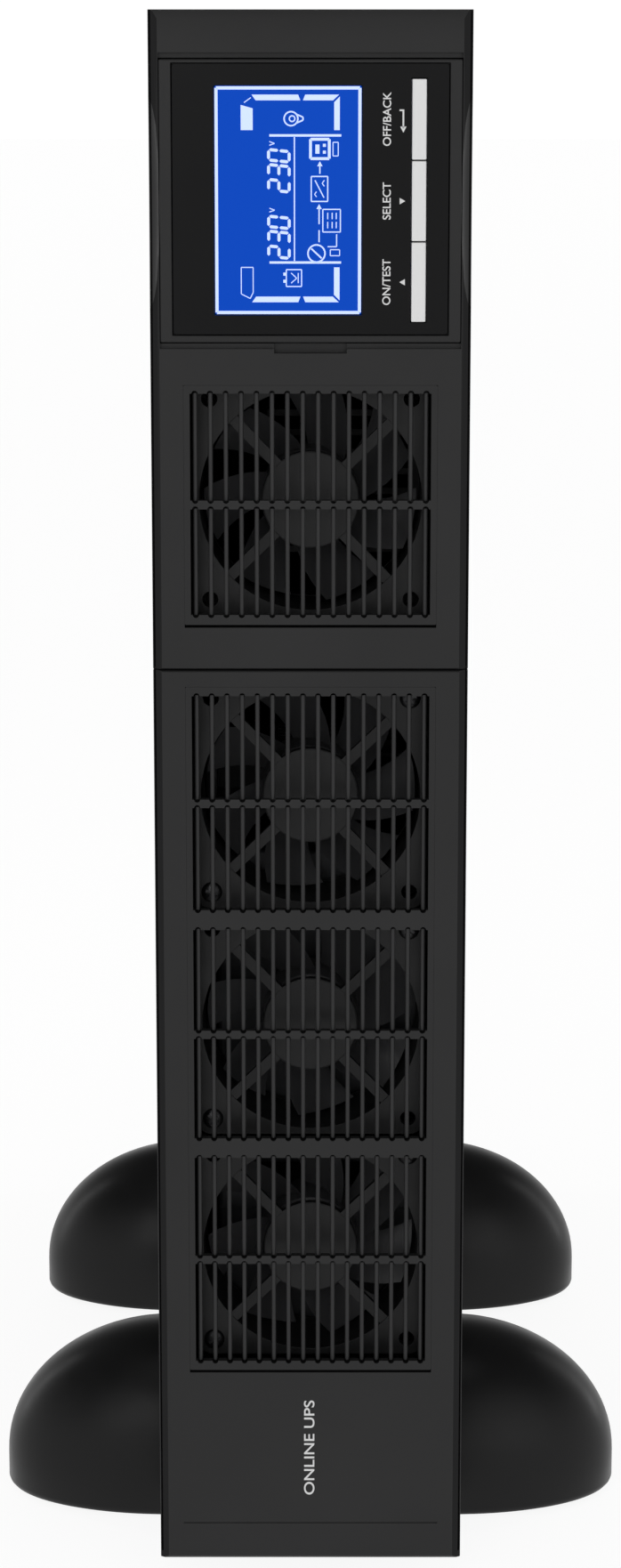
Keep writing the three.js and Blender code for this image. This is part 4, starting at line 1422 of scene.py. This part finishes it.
def make_outlets(node):
    """Two appliance outlets, one above the other: a deep groove round a slotted island."""
    centre, high = middle(node), HIGH[node]
    depth = 11 * MM
    centres = [(centre.x, centre.z + side * 11.7 * MM) for side in (-1, 1)]
    holes = [appliance_outline(x, z, 24.4 * MM, 16.6 * MM) for x, z in centres]
    parts = socket_housing(node, holes, depth)
    contacts = []
    for index, (x, z) in enumerate(centres):
        slots = [(-7 * MM, -1.9 * MM), (7 * MM, -1.9 * MM), (0, 2 * MM)]
        island = plate_with_holes(
            f"{node}_island_{index}",
            appliance_outline(x, z, 20.6 * MM, 12.8 * MM),
            [rectangle(x + dx, z + dz, 2.3 * MM, 4.4 * MM) for dx, dz in slots],
            high.y - depth,
            high.y - 0.5 * MM,
        )
        parts.append(soften(island, 0.15, 1, 50))
        for dx, dz in slots:
            contacts.append(around(x + dx, high.y - depth, high.y - 3.5 * MM, z + dz, 1.8 * MM, 3.4 * MM))
    block = join_meshes(f"{node}_sockets", parts)
    place(block, CHASSIS, "socket_plastic", "socket", (node,))
    place(soft_boxes(f"{node}_contacts", contacts), CHASSIS, "socket_plastic", "brass")


def make_usb():
    node = "usb_port"
    centre, high = middle(node), HIGH[node]
    depth = 10 * MM
    cut = 1.5 * MM
    hole = clipped_outline(centre.x, centre.z, 8.6 * MM, 7.8 * MM, cut, cut)
    shell = join_meshes("usb_port_shell", socket_housing(node, [hole], depth, radius=0.5 * MM))
    place(shell, CHASSIS, "port_shell", "nickel", (node,))
    tongue = [around(centre.x, high.y - depth, high.y - 2 * MM, centre.z + 0.2 * MM, 5.4 * MM, 3.1 * MM)]
    place(soft_boxes("usb_port_tongue", tongue, 0.3), CHASSIS, "port_shell", "socket")


def jack_outline(x, z):
    """The outline of a network jack, with a notch below for the plug's latch."""
    half, tall = 5.85 * MM, 3.8 * MM
    notch, drop = 3 * MM, 1.7 * MM
    return [
        (x - half, z - tall),
        (x - notch, z - tall),
        (x - notch, z - tall - drop),
        (x + notch, z - tall - drop),
        (x + notch, z - tall),
        (x + half, z - tall),
        (x + half, z + tall),
        (x - half, z + tall),
    ]


def make_network_jacks():
    node = "network_jack"
    centre, high = middle(node), HIGH[node]
    depth = 12 * MM
    holes = []
    wires = []
    for side in (-1, 1):
        x, z = centre.x + side * 8 * MM, centre.z
        holes.append(jack_outline(x, z))
        for wire in range(8):
            wire_x = x + (wire - 3.5) * 1.02 * MM
            wires.append(around(wire_x, high.y - depth, high.y - 3 * MM, z + 2.8 * MM, 0.4 * MM, 0.4 * MM))
    shell = join_meshes("network_jack_shell", socket_housing(node, holes, depth, radius=0.6 * MM))
    place(shell, CHASSIS, "port_shell", "socket", (node,))
    place(soft_boxes("network_jack_wires", wires, 0.1), CHASSIS, "port_shell", "brass")


def serial_outline(x, z, wide, tall, radius):
    """The D-shaped outline of a serial connector, wider on top."""
    taper = 1.0 * MM
    corners = [
        (x - wide / 2 + taper, z - tall / 2), (x + wide / 2 - taper, z - tall / 2),
        (x + wide / 2, z + tall / 2), (x - wide / 2, z + tall / 2),
    ]
    points = []
    for index, corner in enumerate(corners):
        before = Vector(corners[index - 1])
        after = Vector(corners[(index + 1) % 4])
        here = Vector(corner)
        start = here + (before - here).normalized() * radius
        end = here + (after - here).normalized() * radius
        for step in range(5):
            t = step / 4
            point = start * (1 - t) ** 2 + here * 2 * t * (1 - t) + end * t ** 2
            points.append((point.x, point.y))
    return points


def make_serial_port():
    node = "serial_port"
    centre, low, high = middle(node), LOW[node], HIGH[node]
    x, z = centre.x, centre.z
    outer = rounded_rectangle((low.x, low.z), (high.x, high.z), 1 * MM, 5)
    mouth = serial_outline(x, z, 17 * MM, 8.4 * MM, 2 * MM)
    rim = serial_outline(x, z, 18.4 * MM, 9.6 * MM, 2.5 * MM)
    plate = plate_with_holes("serial_plate", outer, [mouth], REAR + 0.1 * MM, REAR + 1 * MM)
    soften(plate, 0.2, 2, 60)
    shell = plate_with_holes("serial_rim", rim, [mouth], REAR + 0.9 * MM, high.y)
    soften(shell, 0.2, 2, 60)
    parts = [plate, shell]
    for side in (-1, 1):
        at = (x + side * 12.5 * MM, z)
        hexagon, thread = circle(2.4 * MM, 6, at), circle(1.2 * MM, 16, at)
        post = plate_with_holes("serial_post", hexagon, [thread], REAR + 0.9 * MM, high.y)
        parts.append(soften(post, 0.2, 2, 50))
    metal = join_meshes("serial_port_shell", parts)
    place(metal, CHASSIS, "port_shell", "nickel", (node,))
    pitch, row = 2.77 * MM, 1.42 * MM
    pins = [(x + (i - 2) * pitch, z + row) for i in range(5)]
    pins += [(x + (i - 1.5) * pitch, z - row) for i in range(4)]
    holes = [circle(0.6 * MM, 12, pin) for pin in pins]
    insulator = serial_outline(x, z, 16.8 * MM, 8.2 * MM, 1.9 * MM)
    filler = plate_with_holes("serial_port_insulator", insulator, holes, REAR - 6 * MM, high.y - 0.5 * MM)
    place(shade(filler), CHASSIS, "port_shell", "socket")


def make_emergency_socket():
    """A two-pole pluggable terminal with a screw over each wire entry."""
    node = "emergency_off_socket"
    centre, high = middle(node), HIGH[node]
    entries = [(centre.x + side * 2.54 * MM, centre.z - 1.6 * MM) for side in (-1, 1)]
    screws = [(centre.x + side * 2.54 * MM, centre.z + 2.2 * MM) for side in (-1, 1)]
    holes = [rectangle(x, z, 2.8 * MM, 2.6 * MM) for x, z in entries]
    holes += [circle(1.35 * MM, 16, point) for point in screws]
    block = join_meshes("emergency_off_terminal", socket_housing(node, holes, 5 * MM, radius=0.5 * MM))
    place(block, CHASSIS, "socket_plastic", "green", (node,))
    bm = bmesh.new()
    for point in screws:
        add_prism(bm, circle(1.15 * MM, 16, point), along_y, high.y - 3 * MM, high.y - 1.2 * MM)
    slots = [around(x, high.y - 1.7 * MM, high.y, z, 2.4 * MM, 0.4 * MM) for x, z in screws]
    heads = carve_boxes(object_from(bm, "emergency_off_screws"), slots)
    place(shade(heads), CHASSIS, "socket_plastic", "nickel")


def make_battery_socket():
    node = "external_battery_socket"
    centre, high = middle(node), HIGH[node]
    centres = [(centre.x + side * 8.4 * MM, centre.z) for side in (-1, 1)]
    wide, tall = 7 * MM, 6.5 * MM
    holes = [rounded_rectangle((x - wide, z - tall), (x + wide, z + tall), MM) for x, z in centres]
    block = join_meshes("battery_socket_housing", socket_housing(node, holes, 9 * MM))
    place(block, CHASSIS, "socket_plastic", "plug", (node,))
    tongues = [around(x, high.y - 9 * MM, high.y - 2.5 * MM, z, 7 * MM, 1.8 * MM) for x, z in centres]
    place(soft_boxes("battery_socket_tongues", tongues, 0.5), CHASSIS, "socket_plastic", "nickel")


def make_breaker_housing():
    node = "breaker_body"
    centre = middle(node)
    inside = REAR - 1.5 * MM
    bore = 4.9 * MM
    profile = [
        (bore, inside - 2 * MM),
        (7.6 * MM, inside - 2 * MM),
        (7.6 * MM, REAR + 0.1 * MM),
        (11.6 * MM, REAR + 0.1 * MM),
        (12.2 * MM, REAR + 0.6 * MM),
        (12.2 * MM, REAR + 1.2 * MM),
        (9.4 * MM, REAR + 2.3 * MM),
        (8.9 * MM, REAR + 2.6 * MM),
        (bore + 0.5 * MM, REAR + 2.6 * MM),
        (bore, REAR + 2.1 * MM),
    ]
    bm = bmesh.new()
    add_ring(bm, profile, 48, along_y)
    move(bm, (centre.x, 0, centre.z))
    collar = shade(object_from(bm, "breaker_collar"))
    half = 7.8 * MM
    outer = rounded_rectangle((centre.x - half, centre.z - half), (centre.x + half, centre.z + half), MM)
    hole = circle(bore, 36, (centre.x, centre.z))
    box = plate_with_holes("breaker_case", outer, [hole], inside - 26 * MM, inside - 2 * MM)
    place(join_meshes("breaker_housing", [collar, shade(box)]), CHASSIS, "socket_plastic", "socket", (node,))


def make_breaker_button():
    node = "breaker_button"
    low, high, centre = LOW[node], HIGH[node], middle(node)
    radius = (high.x - low.x) / 2
    cap = [
        (0, low.y),
        (radius - 0.3 * MM, low.y),
        (radius, low.y + 0.3 * MM),
        (radius, high.y - 0.9 * MM),
        (radius - 0.25 * MM, high.y - 0.3 * MM),
        (radius - 0.9 * MM, high.y),
        (radius - 1.8 * MM, high.y - 0.15 * MM),
        (0, high.y - 0.35 * MM),
    ]
    bm = bmesh.new()
    add_lathe(bm, cap, 40, along_y)
    move(bm, (centre.x, 0, centre.z))
    button = shade(object_from(bm, "breaker_reset"))
    place(button, BODY_OF[node], "plug_plastic", "plug", (node,))


def thumb_screw(at, seat):
    """A knurled head with a slot and a short collar, standing on the plane Y = seat."""
    teeth = 28
    outline = []
    for i in range(2 * teeth):
        radius = (4.4 if i % 2 else 4.1) * MM
        angle = math.pi * i / teeth
        outline.append((at[0] + radius * math.cos(angle), at[1] + radius * math.sin(angle)))
    bm = bmesh.new()
    add_prism(bm, outline, along_y, seat + 0.6 * MM, seat + 4 * MM)
    add_prism(bm, circle(2.6 * MM, 32, at), along_y, seat, seat + 0.7 * MM)
    head = soften(object_from(bm, "thumb_screw"), 0.2, 2, 50)
    slot = around(at[0], seat + 3.2 * MM, seat + 5 * MM, at[1], 6 * MM, MM)
    return shade(carve_boxes(head, [slot]))


def make_card_cover():
    node = "card_slot_cover"
    low, high, centre = LOW[node], HIGH[node], middle(node)
    outer = rounded_rectangle((low.x, low.z), (high.x, high.z), 1.5 * MM, 6)
    plate = soften(plate_with_holes("card_slot_plate", outer, [], low.y, high.y), 0.25, 2, 60)
    place(plate, CHASSIS, "case_steel", "case", (node,))
    spots = [(centre.x, centre.z + side * 53 * MM) for side in (-1, 1)]
    screws = [thumb_screw(at, high.y) for at in spots]
    place(join_meshes("card_slot_screws", screws), CHASSIS, "case_steel", "screw")


# ---------------------------------------------------------------- screws and case details


def screw_mesh(radius_mm):
    """A low domed head with a cross recess, its seat at the origin and its top towards +Z."""
    radius = radius_mm * MM
    height = 0.42 * radius
    bm = bmesh.new()
    rise = 0.15 * MM
    angles = [math.radians(degrees) for degrees in range(0, 91, 15)]
    dome = [(radius * math.cos(angle), rise + height * math.sin(angle)) for angle in angles]
    add_lathe(bm, [(0, 0), (radius, 0), *dome[:-1], (0, dome[-1][1])], 28, along_z)
    head = object_from(bm, "screw_head")
    arm, reach = 0.17 * radius, 0.62 * radius
    bottom = 0.4 * height
    carve_boxes(head, [
        ((-arm, -reach, bottom), (arm, reach, 2 * height)),
        ((-reach, -arm, bottom), (reach, arm, 2 * height)),
    ])
    shade(head, math.radians(30))
    mesh = head.data
    bpy.data.objects.remove(head)
    return mesh


OUTWARD = {
    "rear": Matrix.Rotation(-math.pi / 2, 4, "X"),
    "left": Matrix.Rotation(-math.pi / 2, 4, "Y"),
    "right": Matrix.Rotation(math.pi / 2, 4, "Y"),
    "top": Matrix.Identity(4),
    "bottom": Matrix.Rotation(math.pi, 4, "X"),
    "front": Matrix.Rotation(math.pi / 2, 4, "X"),
}


def make_screws(name, body, slot, radius_mm, places, key="screw"):
    """One piece holding the same screw at several places: each is (side of the case, position)."""
    bm = bmesh.new()
    mesh = screw_mesh(radius_mm)
    for side, position in places:
        twist = Matrix.Rotation(random.uniform(0, math.pi / 2), 4, "Z")
        part = mesh.copy()
        part.transform(Matrix.Translation(position) @ OUTWARD[side] @ twist)
        bm.from_mesh(part)
        bpy.data.meshes.remove(part)
    bpy.data.meshes.remove(mesh)
    screws = object_from(bm, name)
    place(shade(screws, math.radians(30)), body, slot, key)


def make_case_screws():
    case_low = LOW["chassis_pan"]
    cover_x = LOW["side_cover"].x
    rear = []
    for x in (-37 * MM, 37 * MM):
        for height in (7, 200, 264, 385, 431):
            rear.append(("rear", (x, REAR, BASE + height * MM)))
    make_screws("rear_panel_screws", CHASSIS, "case_steel", 2.6, rear)
    cover = []
    for y in (-135, -45, 60, 165):
        for height in (9, 429):
            cover.append(("left", (cover_x, y * MM, BASE + height * MM)))
    make_screws("side_cover_screws", CHASSIS, "case_steel", 2.8, cover)
    ears = []
    for x in (-25 * MM, 25 * MM):
        for y in (-143, -123):
            ears.append(("bottom", (x, y * MM, case_low.z)))
    make_screws("rack_ear_screws", CHASSIS, "case_steel", 3.2, ears)
    make_screws(
        "ground_screw", CHASSIS, "case_steel", 3.0, [("rear", (-36 * MM, REAR, BASE + 352 * MM))], key="brass"
    )


# ---------------------------------------------------------------- battery tray

DRAWER = "battery_drawer"


def battery_body(node, case_top):
    """The case: a line round its lid, a channel along its top and a shallow panel on each side."""
    low, high, centre = LOW[node], HIGH[node], middle(node)
    bm = bmesh.new()
    add_box(bm, low, (high.x, high.y, case_top))
    case = soften(object_from(bm, f"{node}_body"), 1.2, 3)
    line = 0.4 * MM
    lid = case_top - 7 * MM
    lid_top = lid + 0.6 * MM
    panel = 48 * MM
    shallow = 0.35 * MM
    panel_low, panel_high = low.z + 14 * MM, lid - 10 * MM
    carve_boxes(case, [
        ((low.x - MM, low.y - MM, lid), (low.x + line, high.y + MM, lid_top)),
        ((high.x - line, low.y - MM, lid), (high.x + MM, high.y + MM, lid_top)),
        ((low.x - MM, low.y - MM, lid), (high.x + MM, low.y + line, lid_top)),
        ((low.x - MM, high.y - line, lid), (high.x + MM, high.y + MM, lid_top)),
        (
            (centre.x - 9 * MM, low.y + 12 * MM, case_top - 0.6 * MM),
            (centre.x + 9 * MM, high.y - 22 * MM, case_top + MM),
        ),
        ((low.x - MM, centre.y - panel, panel_low), (low.x + shallow, centre.y + panel, panel_high)),
        ((high.x - shallow, centre.y - panel, panel_low), (high.x + MM, centre.y + panel, panel_high)),
    ])
    return shade(case)


def make_battery(node):
    """A sealed battery: its case, a cover strip over the valves, and two blades on their pads."""
    low, high, centre = LOW[node], HIGH[node], middle(node)
    case_top = low.z + 94 * MM
    case = battery_body(node, case_top)
    bm = bmesh.new()
    strip = rounded_rectangle(
        (centre.x - 8.5 * MM, low.y + 12.5 * MM), (centre.x + 8.5 * MM, high.y - 22.5 * MM), 1.5 * MM
    )
    add_prism(bm, strip, along_z, case_top - 0.7 * MM, case_top - 0.1 * MM)
    terminals = (centre.x - 20 * MM, centre.x + 20 * MM)
    for x in terminals:
        pad = rounded_rectangle((x - 6 * MM, high.y - 14 * MM), (x + 6 * MM, high.y - 2 * MM), 1.5 * MM)
        add_prism(bm, pad, along_z, case_top - MM, case_top + 1.4 * MM)
    top = soften(object_from(bm, f"{node}_top"), 0.25, 2, 50)
    place(join_meshes(f"{node}_case", [case, top]), DRAWER, "battery_case", "battery", (node,))
    blade_z, blade_tall = (case_top + high.z) / 2, high.z - case_top
    blades = [
        around(x, high.y - 8.4 * MM, high.y - 7.6 * MM, blade_z, 6.3 * MM, blade_tall) for x in terminals
    ]
    place(soft_boxes(f"{node}_blades", blades, 0.2), DRAWER, "battery_case", "brass")


def sweep(name, points, radius_mm):
    """A round wire along a smooth curve through the points."""
    curve = wire_curve(name, radius_mm * MM, 2)
    curve.resolution_u = 8
    spline = curve.splines.new("BEZIER")
    spline.bezier_points.add(len(points) - 1)
    for point, place_at in zip(spline.bezier_points, points):
        point.co = place_at
        point.handle_left_type = "AUTO"
        point.handle_right_type = "AUTO"
    return shade(object_from_curve(name, curve))


def make_battery_leads():
    """Red and black leads from the upper front battery to the plug behind the tray's face."""
    plug_low, plug_high = LOW["battery_plug"], HIGH["battery_plug"]
    battery_high = HIGH["battery_3"]
    start_y = battery_high.y - 8 * MM
    start_z = battery_high.z + 1.5 * MM
    for key, dx, side in (("red", -20 * MM, 0.3), ("black_wire", 20 * MM, 0.7)):
        x = middle("battery_3").x + dx
        plug_x = plug_low.x + (plug_high.x - plug_low.x) * side
        points = [
            (x, start_y, start_z),
            (x, start_y - 12 * MM, start_z + 5 * MM),
            (plug_x, plug_high.y + 30 * MM, plug_low.z + 9 * MM),
            (plug_x, plug_high.y - MM, plug_low.z + 9 * MM),
        ]
        lead = sweep(f"lead_{key}", points, 1.7)
        place(lead, DRAWER, "battery_case", key)
        boot = around(x, start_y - 4.5 * MM, start_y + 4.5 * MM, start_z - 2.6 * MM, 7.4 * MM, 5 * MM)
        place(soft_boxes(f"boot_{key}", [boot], 0.8), DRAWER, "battery_case", key)


def make_battery_plug():
    node = "battery_plug"
    low, high, centre = LOW[node], HIGH[node], middle(node)
    bm = bmesh.new()
    add_box(bm, low, high)
    body = soften(object_from(bm, "battery_plug_body"), 1.2, 3)
    groove = 1.1 * MM
    left, right = centre.x - 0.4 * MM, centre.x + 0.4 * MM
    boxes = [
        ((left, low.y - MM, low.z - MM), (right, high.y + MM, low.z + groove)),
        ((left, low.y - MM, high.z - groove), (right, high.y + MM, high.z + MM)),
    ]
    for side in (-1, 1):
        x = centre.x + side * (high.x - low.x) / 4
        boxes.append(around(x, low.y - MM, low.y + 14 * MM, centre.z, 11 * MM, 10 * MM))
        for i in range(4):
            y = low.y + (20 + 5 * i) * MM
            boxes.append(((x - 5 * MM, y, high.z - 0.6 * MM), (x + 5 * MM, y + 1.5 * MM, high.z + MM)))
    carve_boxes(body, boxes)
    # The plug's dark grey is painted shade: it shows through the lower fan, where the inside is dark.
    place(shade(body), DRAWER, "plug_plastic", "plug", (node,))


def make_tray_handle():
    """A bow handle with a rounded grip on two legs."""
    node = "tray_handle"
    low, high = LOW[node], HIGH[node]
    bar = 6 * MM
    round_off = 4 * MM
    outline = [
        (low.x, high.y),
        *circle(round_off, 7, (low.x + round_off, low.y + round_off), math.pi, 1.5 * math.pi),
        *circle(round_off, 7, (high.x - round_off, low.y + round_off), 1.5 * math.pi, 2 * math.pi),
        (high.x, high.y),
        (high.x - bar, high.y),
        (high.x - bar, low.y + bar),
        (low.x + bar, low.y + bar),
        (low.x + bar, high.y),
    ]
    bm = bmesh.new()
    add_prism(bm, outline, along_z, low.z, high.z)
    bow = soften(object_from(bm, "tray_handle_bow"), 1.4, 4, 40)
    place(bow, BODY_OF[node], "foot_plastic", "foot", (node,))


def make_tray_screws():
    face = LOW["tray_face"].y
    places = []
    for x in (-36.5 * MM, 36.5 * MM):
        for height in (12, 255):
            places.append(("front", (x, face, BASE + height * MM)))
    make_screws("tray_face_screws", DRAWER, "case_steel", 2.6, places)
    for index in (2, 3, 4):
        centre = middle(f"fan_frame_{index}")
        front = LOW[f"fan_frame_{index}"].y - 0.02 * MM
        reach = (HIGH["fan_frame_2"].x - LOW["fan_frame_2"].x) / 2 - 4.6 * MM
        corners = [("front", (side * reach, front, centre.z + side * reach)) for side in (-1, 1)]
        make_screws(f"fan_screws_{index}", DRAWER, "fan_plastic", 2.9, corners)


# ---------------------------------------------------------------- electronics


def winding_points(centre, ring, tube):
    """The path of a wire wound round a ring core, with a gap between its first and its last turn."""
    turns, steps = 46, 12
    points = []
    for i in range(turns * steps + 1):
        around_ring = 2 * math.pi * (0.04 + 0.92 * i / (turns * steps))
        around_tube = 2 * math.pi * i / steps
        radius = ring + tube * math.cos(around_tube)
        offset = Vector((0, radius * math.cos(around_ring), radius * math.sin(around_ring)))
        offset.x = tube * math.sin(around_tube)
        points.append(centre + offset)
    return points


def make_choke(node):
    """A ring core under one layer of copper wire."""
    low, high, centre = LOW[node], HIGH[node], middle(node)
    ring = (high.y - low.y) / 2 - (high.x - low.x) / 2
    wire = 0.9 * MM
    tube = (high.x - low.x) / 2 - wire
    bm = bmesh.new()
    add_ring(bm, circle(0.9 * tube, 20, (ring, 0)), 64, along_x)
    move(bm, centre)
    place(shade(object_from(bm, f"{node}_core")), CHASSIS, "choke_winding", "chip", (node,))
    curve = wire_curve(f"{node}_winding", wire * 0.92, 1)
    add_polyline(curve, winding_points(centre, ring, tube))
    winding = shade(object_from_curve(f"{node}_winding", curve), math.radians(70))
    place(winding, CHASSIS, "choke_winding", "copper")


def make_capacitor(node):
    """A sleeved can lying along X, with a rolled neck and a scored vent on its end."""
    low, high, centre = LOW[node], HIGH[node], middle(node)
    radius = (high.z - low.z) / 2
    neck = radius - 0.9 * MM
    profile = [
        (0, low.x + 0.4 * MM),
        (radius - 2.6 * MM, low.x + 0.4 * MM),
        (radius - 1.8 * MM, low.x),
        (radius - 0.7 * MM, low.x + 0.2 * MM),
        (radius, low.x + 1.0 * MM),
        (radius, high.x - 4.6 * MM),
        (neck, high.x - 4.0 * MM),
        (neck, high.x - 3.2 * MM),
        (radius, high.x - 2.6 * MM),
        (radius, high.x - 0.6 * MM),
        (radius - 0.6 * MM, high.x),
        (0, high.x),
    ]
    bm = bmesh.new()
    add_lathe(bm, profile, 48, along_x)
    move(bm, (0, centre.y, centre.z))
    score = []
    for half_y, half_z in ((radius * 0.7, 0.3 * MM), (0.3 * MM, radius * 0.7)):
        score.append((
            (low.x - MM, centre.y - half_y, centre.z - half_z),
            (low.x + 0.7 * MM, centre.y + half_y, centre.z + half_z),
        ))
    can = carve_boxes(object_from(bm, f"{node}_can"), score)
    place(shade(can), CHASSIS, "capacitor_can", "sleeve", (node,))


def make_board_parts(board, spots):
    """Small chips and connectors on the board's face towards the side cover.

    Each spot holds two shares, along the board and up it, and a width, height and thickness in millimetres.
    """
    low, high = LOW[board], HIGH[board]
    boxes = []
    for along, up, wide, tall, thick in spots:
        y = low.y + along * (high.y - low.y)
        z = low.z + up * (high.z - low.z)
        low_corner = (low.x - thick * MM, y - wide * MM / 2, z - tall * MM / 2)
        boxes.append((low_corner, (low.x, y + wide * MM / 2, z + tall * MM / 2)))
    place(soft_boxes(f"{board}_parts", boxes, 0.25), CHASSIS, "circuit_board", "chip")


def make_electronics():
    for node in ("boost_choke", "output_choke"):
        make_choke(node)
    for node in ("bus_capacitor_1", "bus_capacitor_2"):
        make_capacitor(node)
    relays = [(0.66 + 0.045 * i, 0.22 + 0.1 * (i % 3), 9 + 2 * (i % 2), 14, 11) for i in range(7)]
    drivers = [(0.62 + 0.042 * i, 0.72, 5, 7, 4) for i in range(9)]
    make_board_parts("main_board", relays + drivers)
    chips = [(0.25, 0.5, 22, 22, 1.8), (0.6, 0.65, 12, 8, 1.6), (0.6, 0.3, 12, 8, 1.6)]
    connectors = [(0.85, 0.15 + 0.14 * i, 5, 4, 1.2) for i in range(6)]
    make_board_parts("control_board", chips + connectors)


# ---------------------------------------------------------------- assembly

make_camera()
make_stage()
for key, nodes in NODE_PAINT.items():
    for node in nodes:
        repaint_node(node, key)
make_upper_bezel()
make_lower_bezel()
make_grille("upper_grille", ["fan_frame_1"])
make_grille("lower_grille", ["fan_frame_2", "fan_frame_3", "fan_frame_4"])
for index in range(1, 5):
    make_fan_frame(index)
    make_fan_rotor(index)
make_panel_frame()
make_display_window()
make_glass()
make_display()
make_labels()
for node in ("button_on", "button_select", "button_off"):
    make_key(node)
for node in ("foot_front_left", "foot_front_right", "foot_rear_left", "foot_rear_right"):
    make_foot(node)
make_inlet()
make_outlets("outlet_block_1")
make_outlets("outlet_block_2")
make_usb()
make_network_jacks()
make_serial_port()
make_emergency_socket()
make_battery_socket()
make_breaker_housing()
make_breaker_button()
make_card_cover()
make_case_screws()
for index in range(1, 5):
    make_battery(f"battery_{index}")
make_battery_leads()
make_battery_plug()
make_tray_handle()
make_tray_screws()
make_electronics()
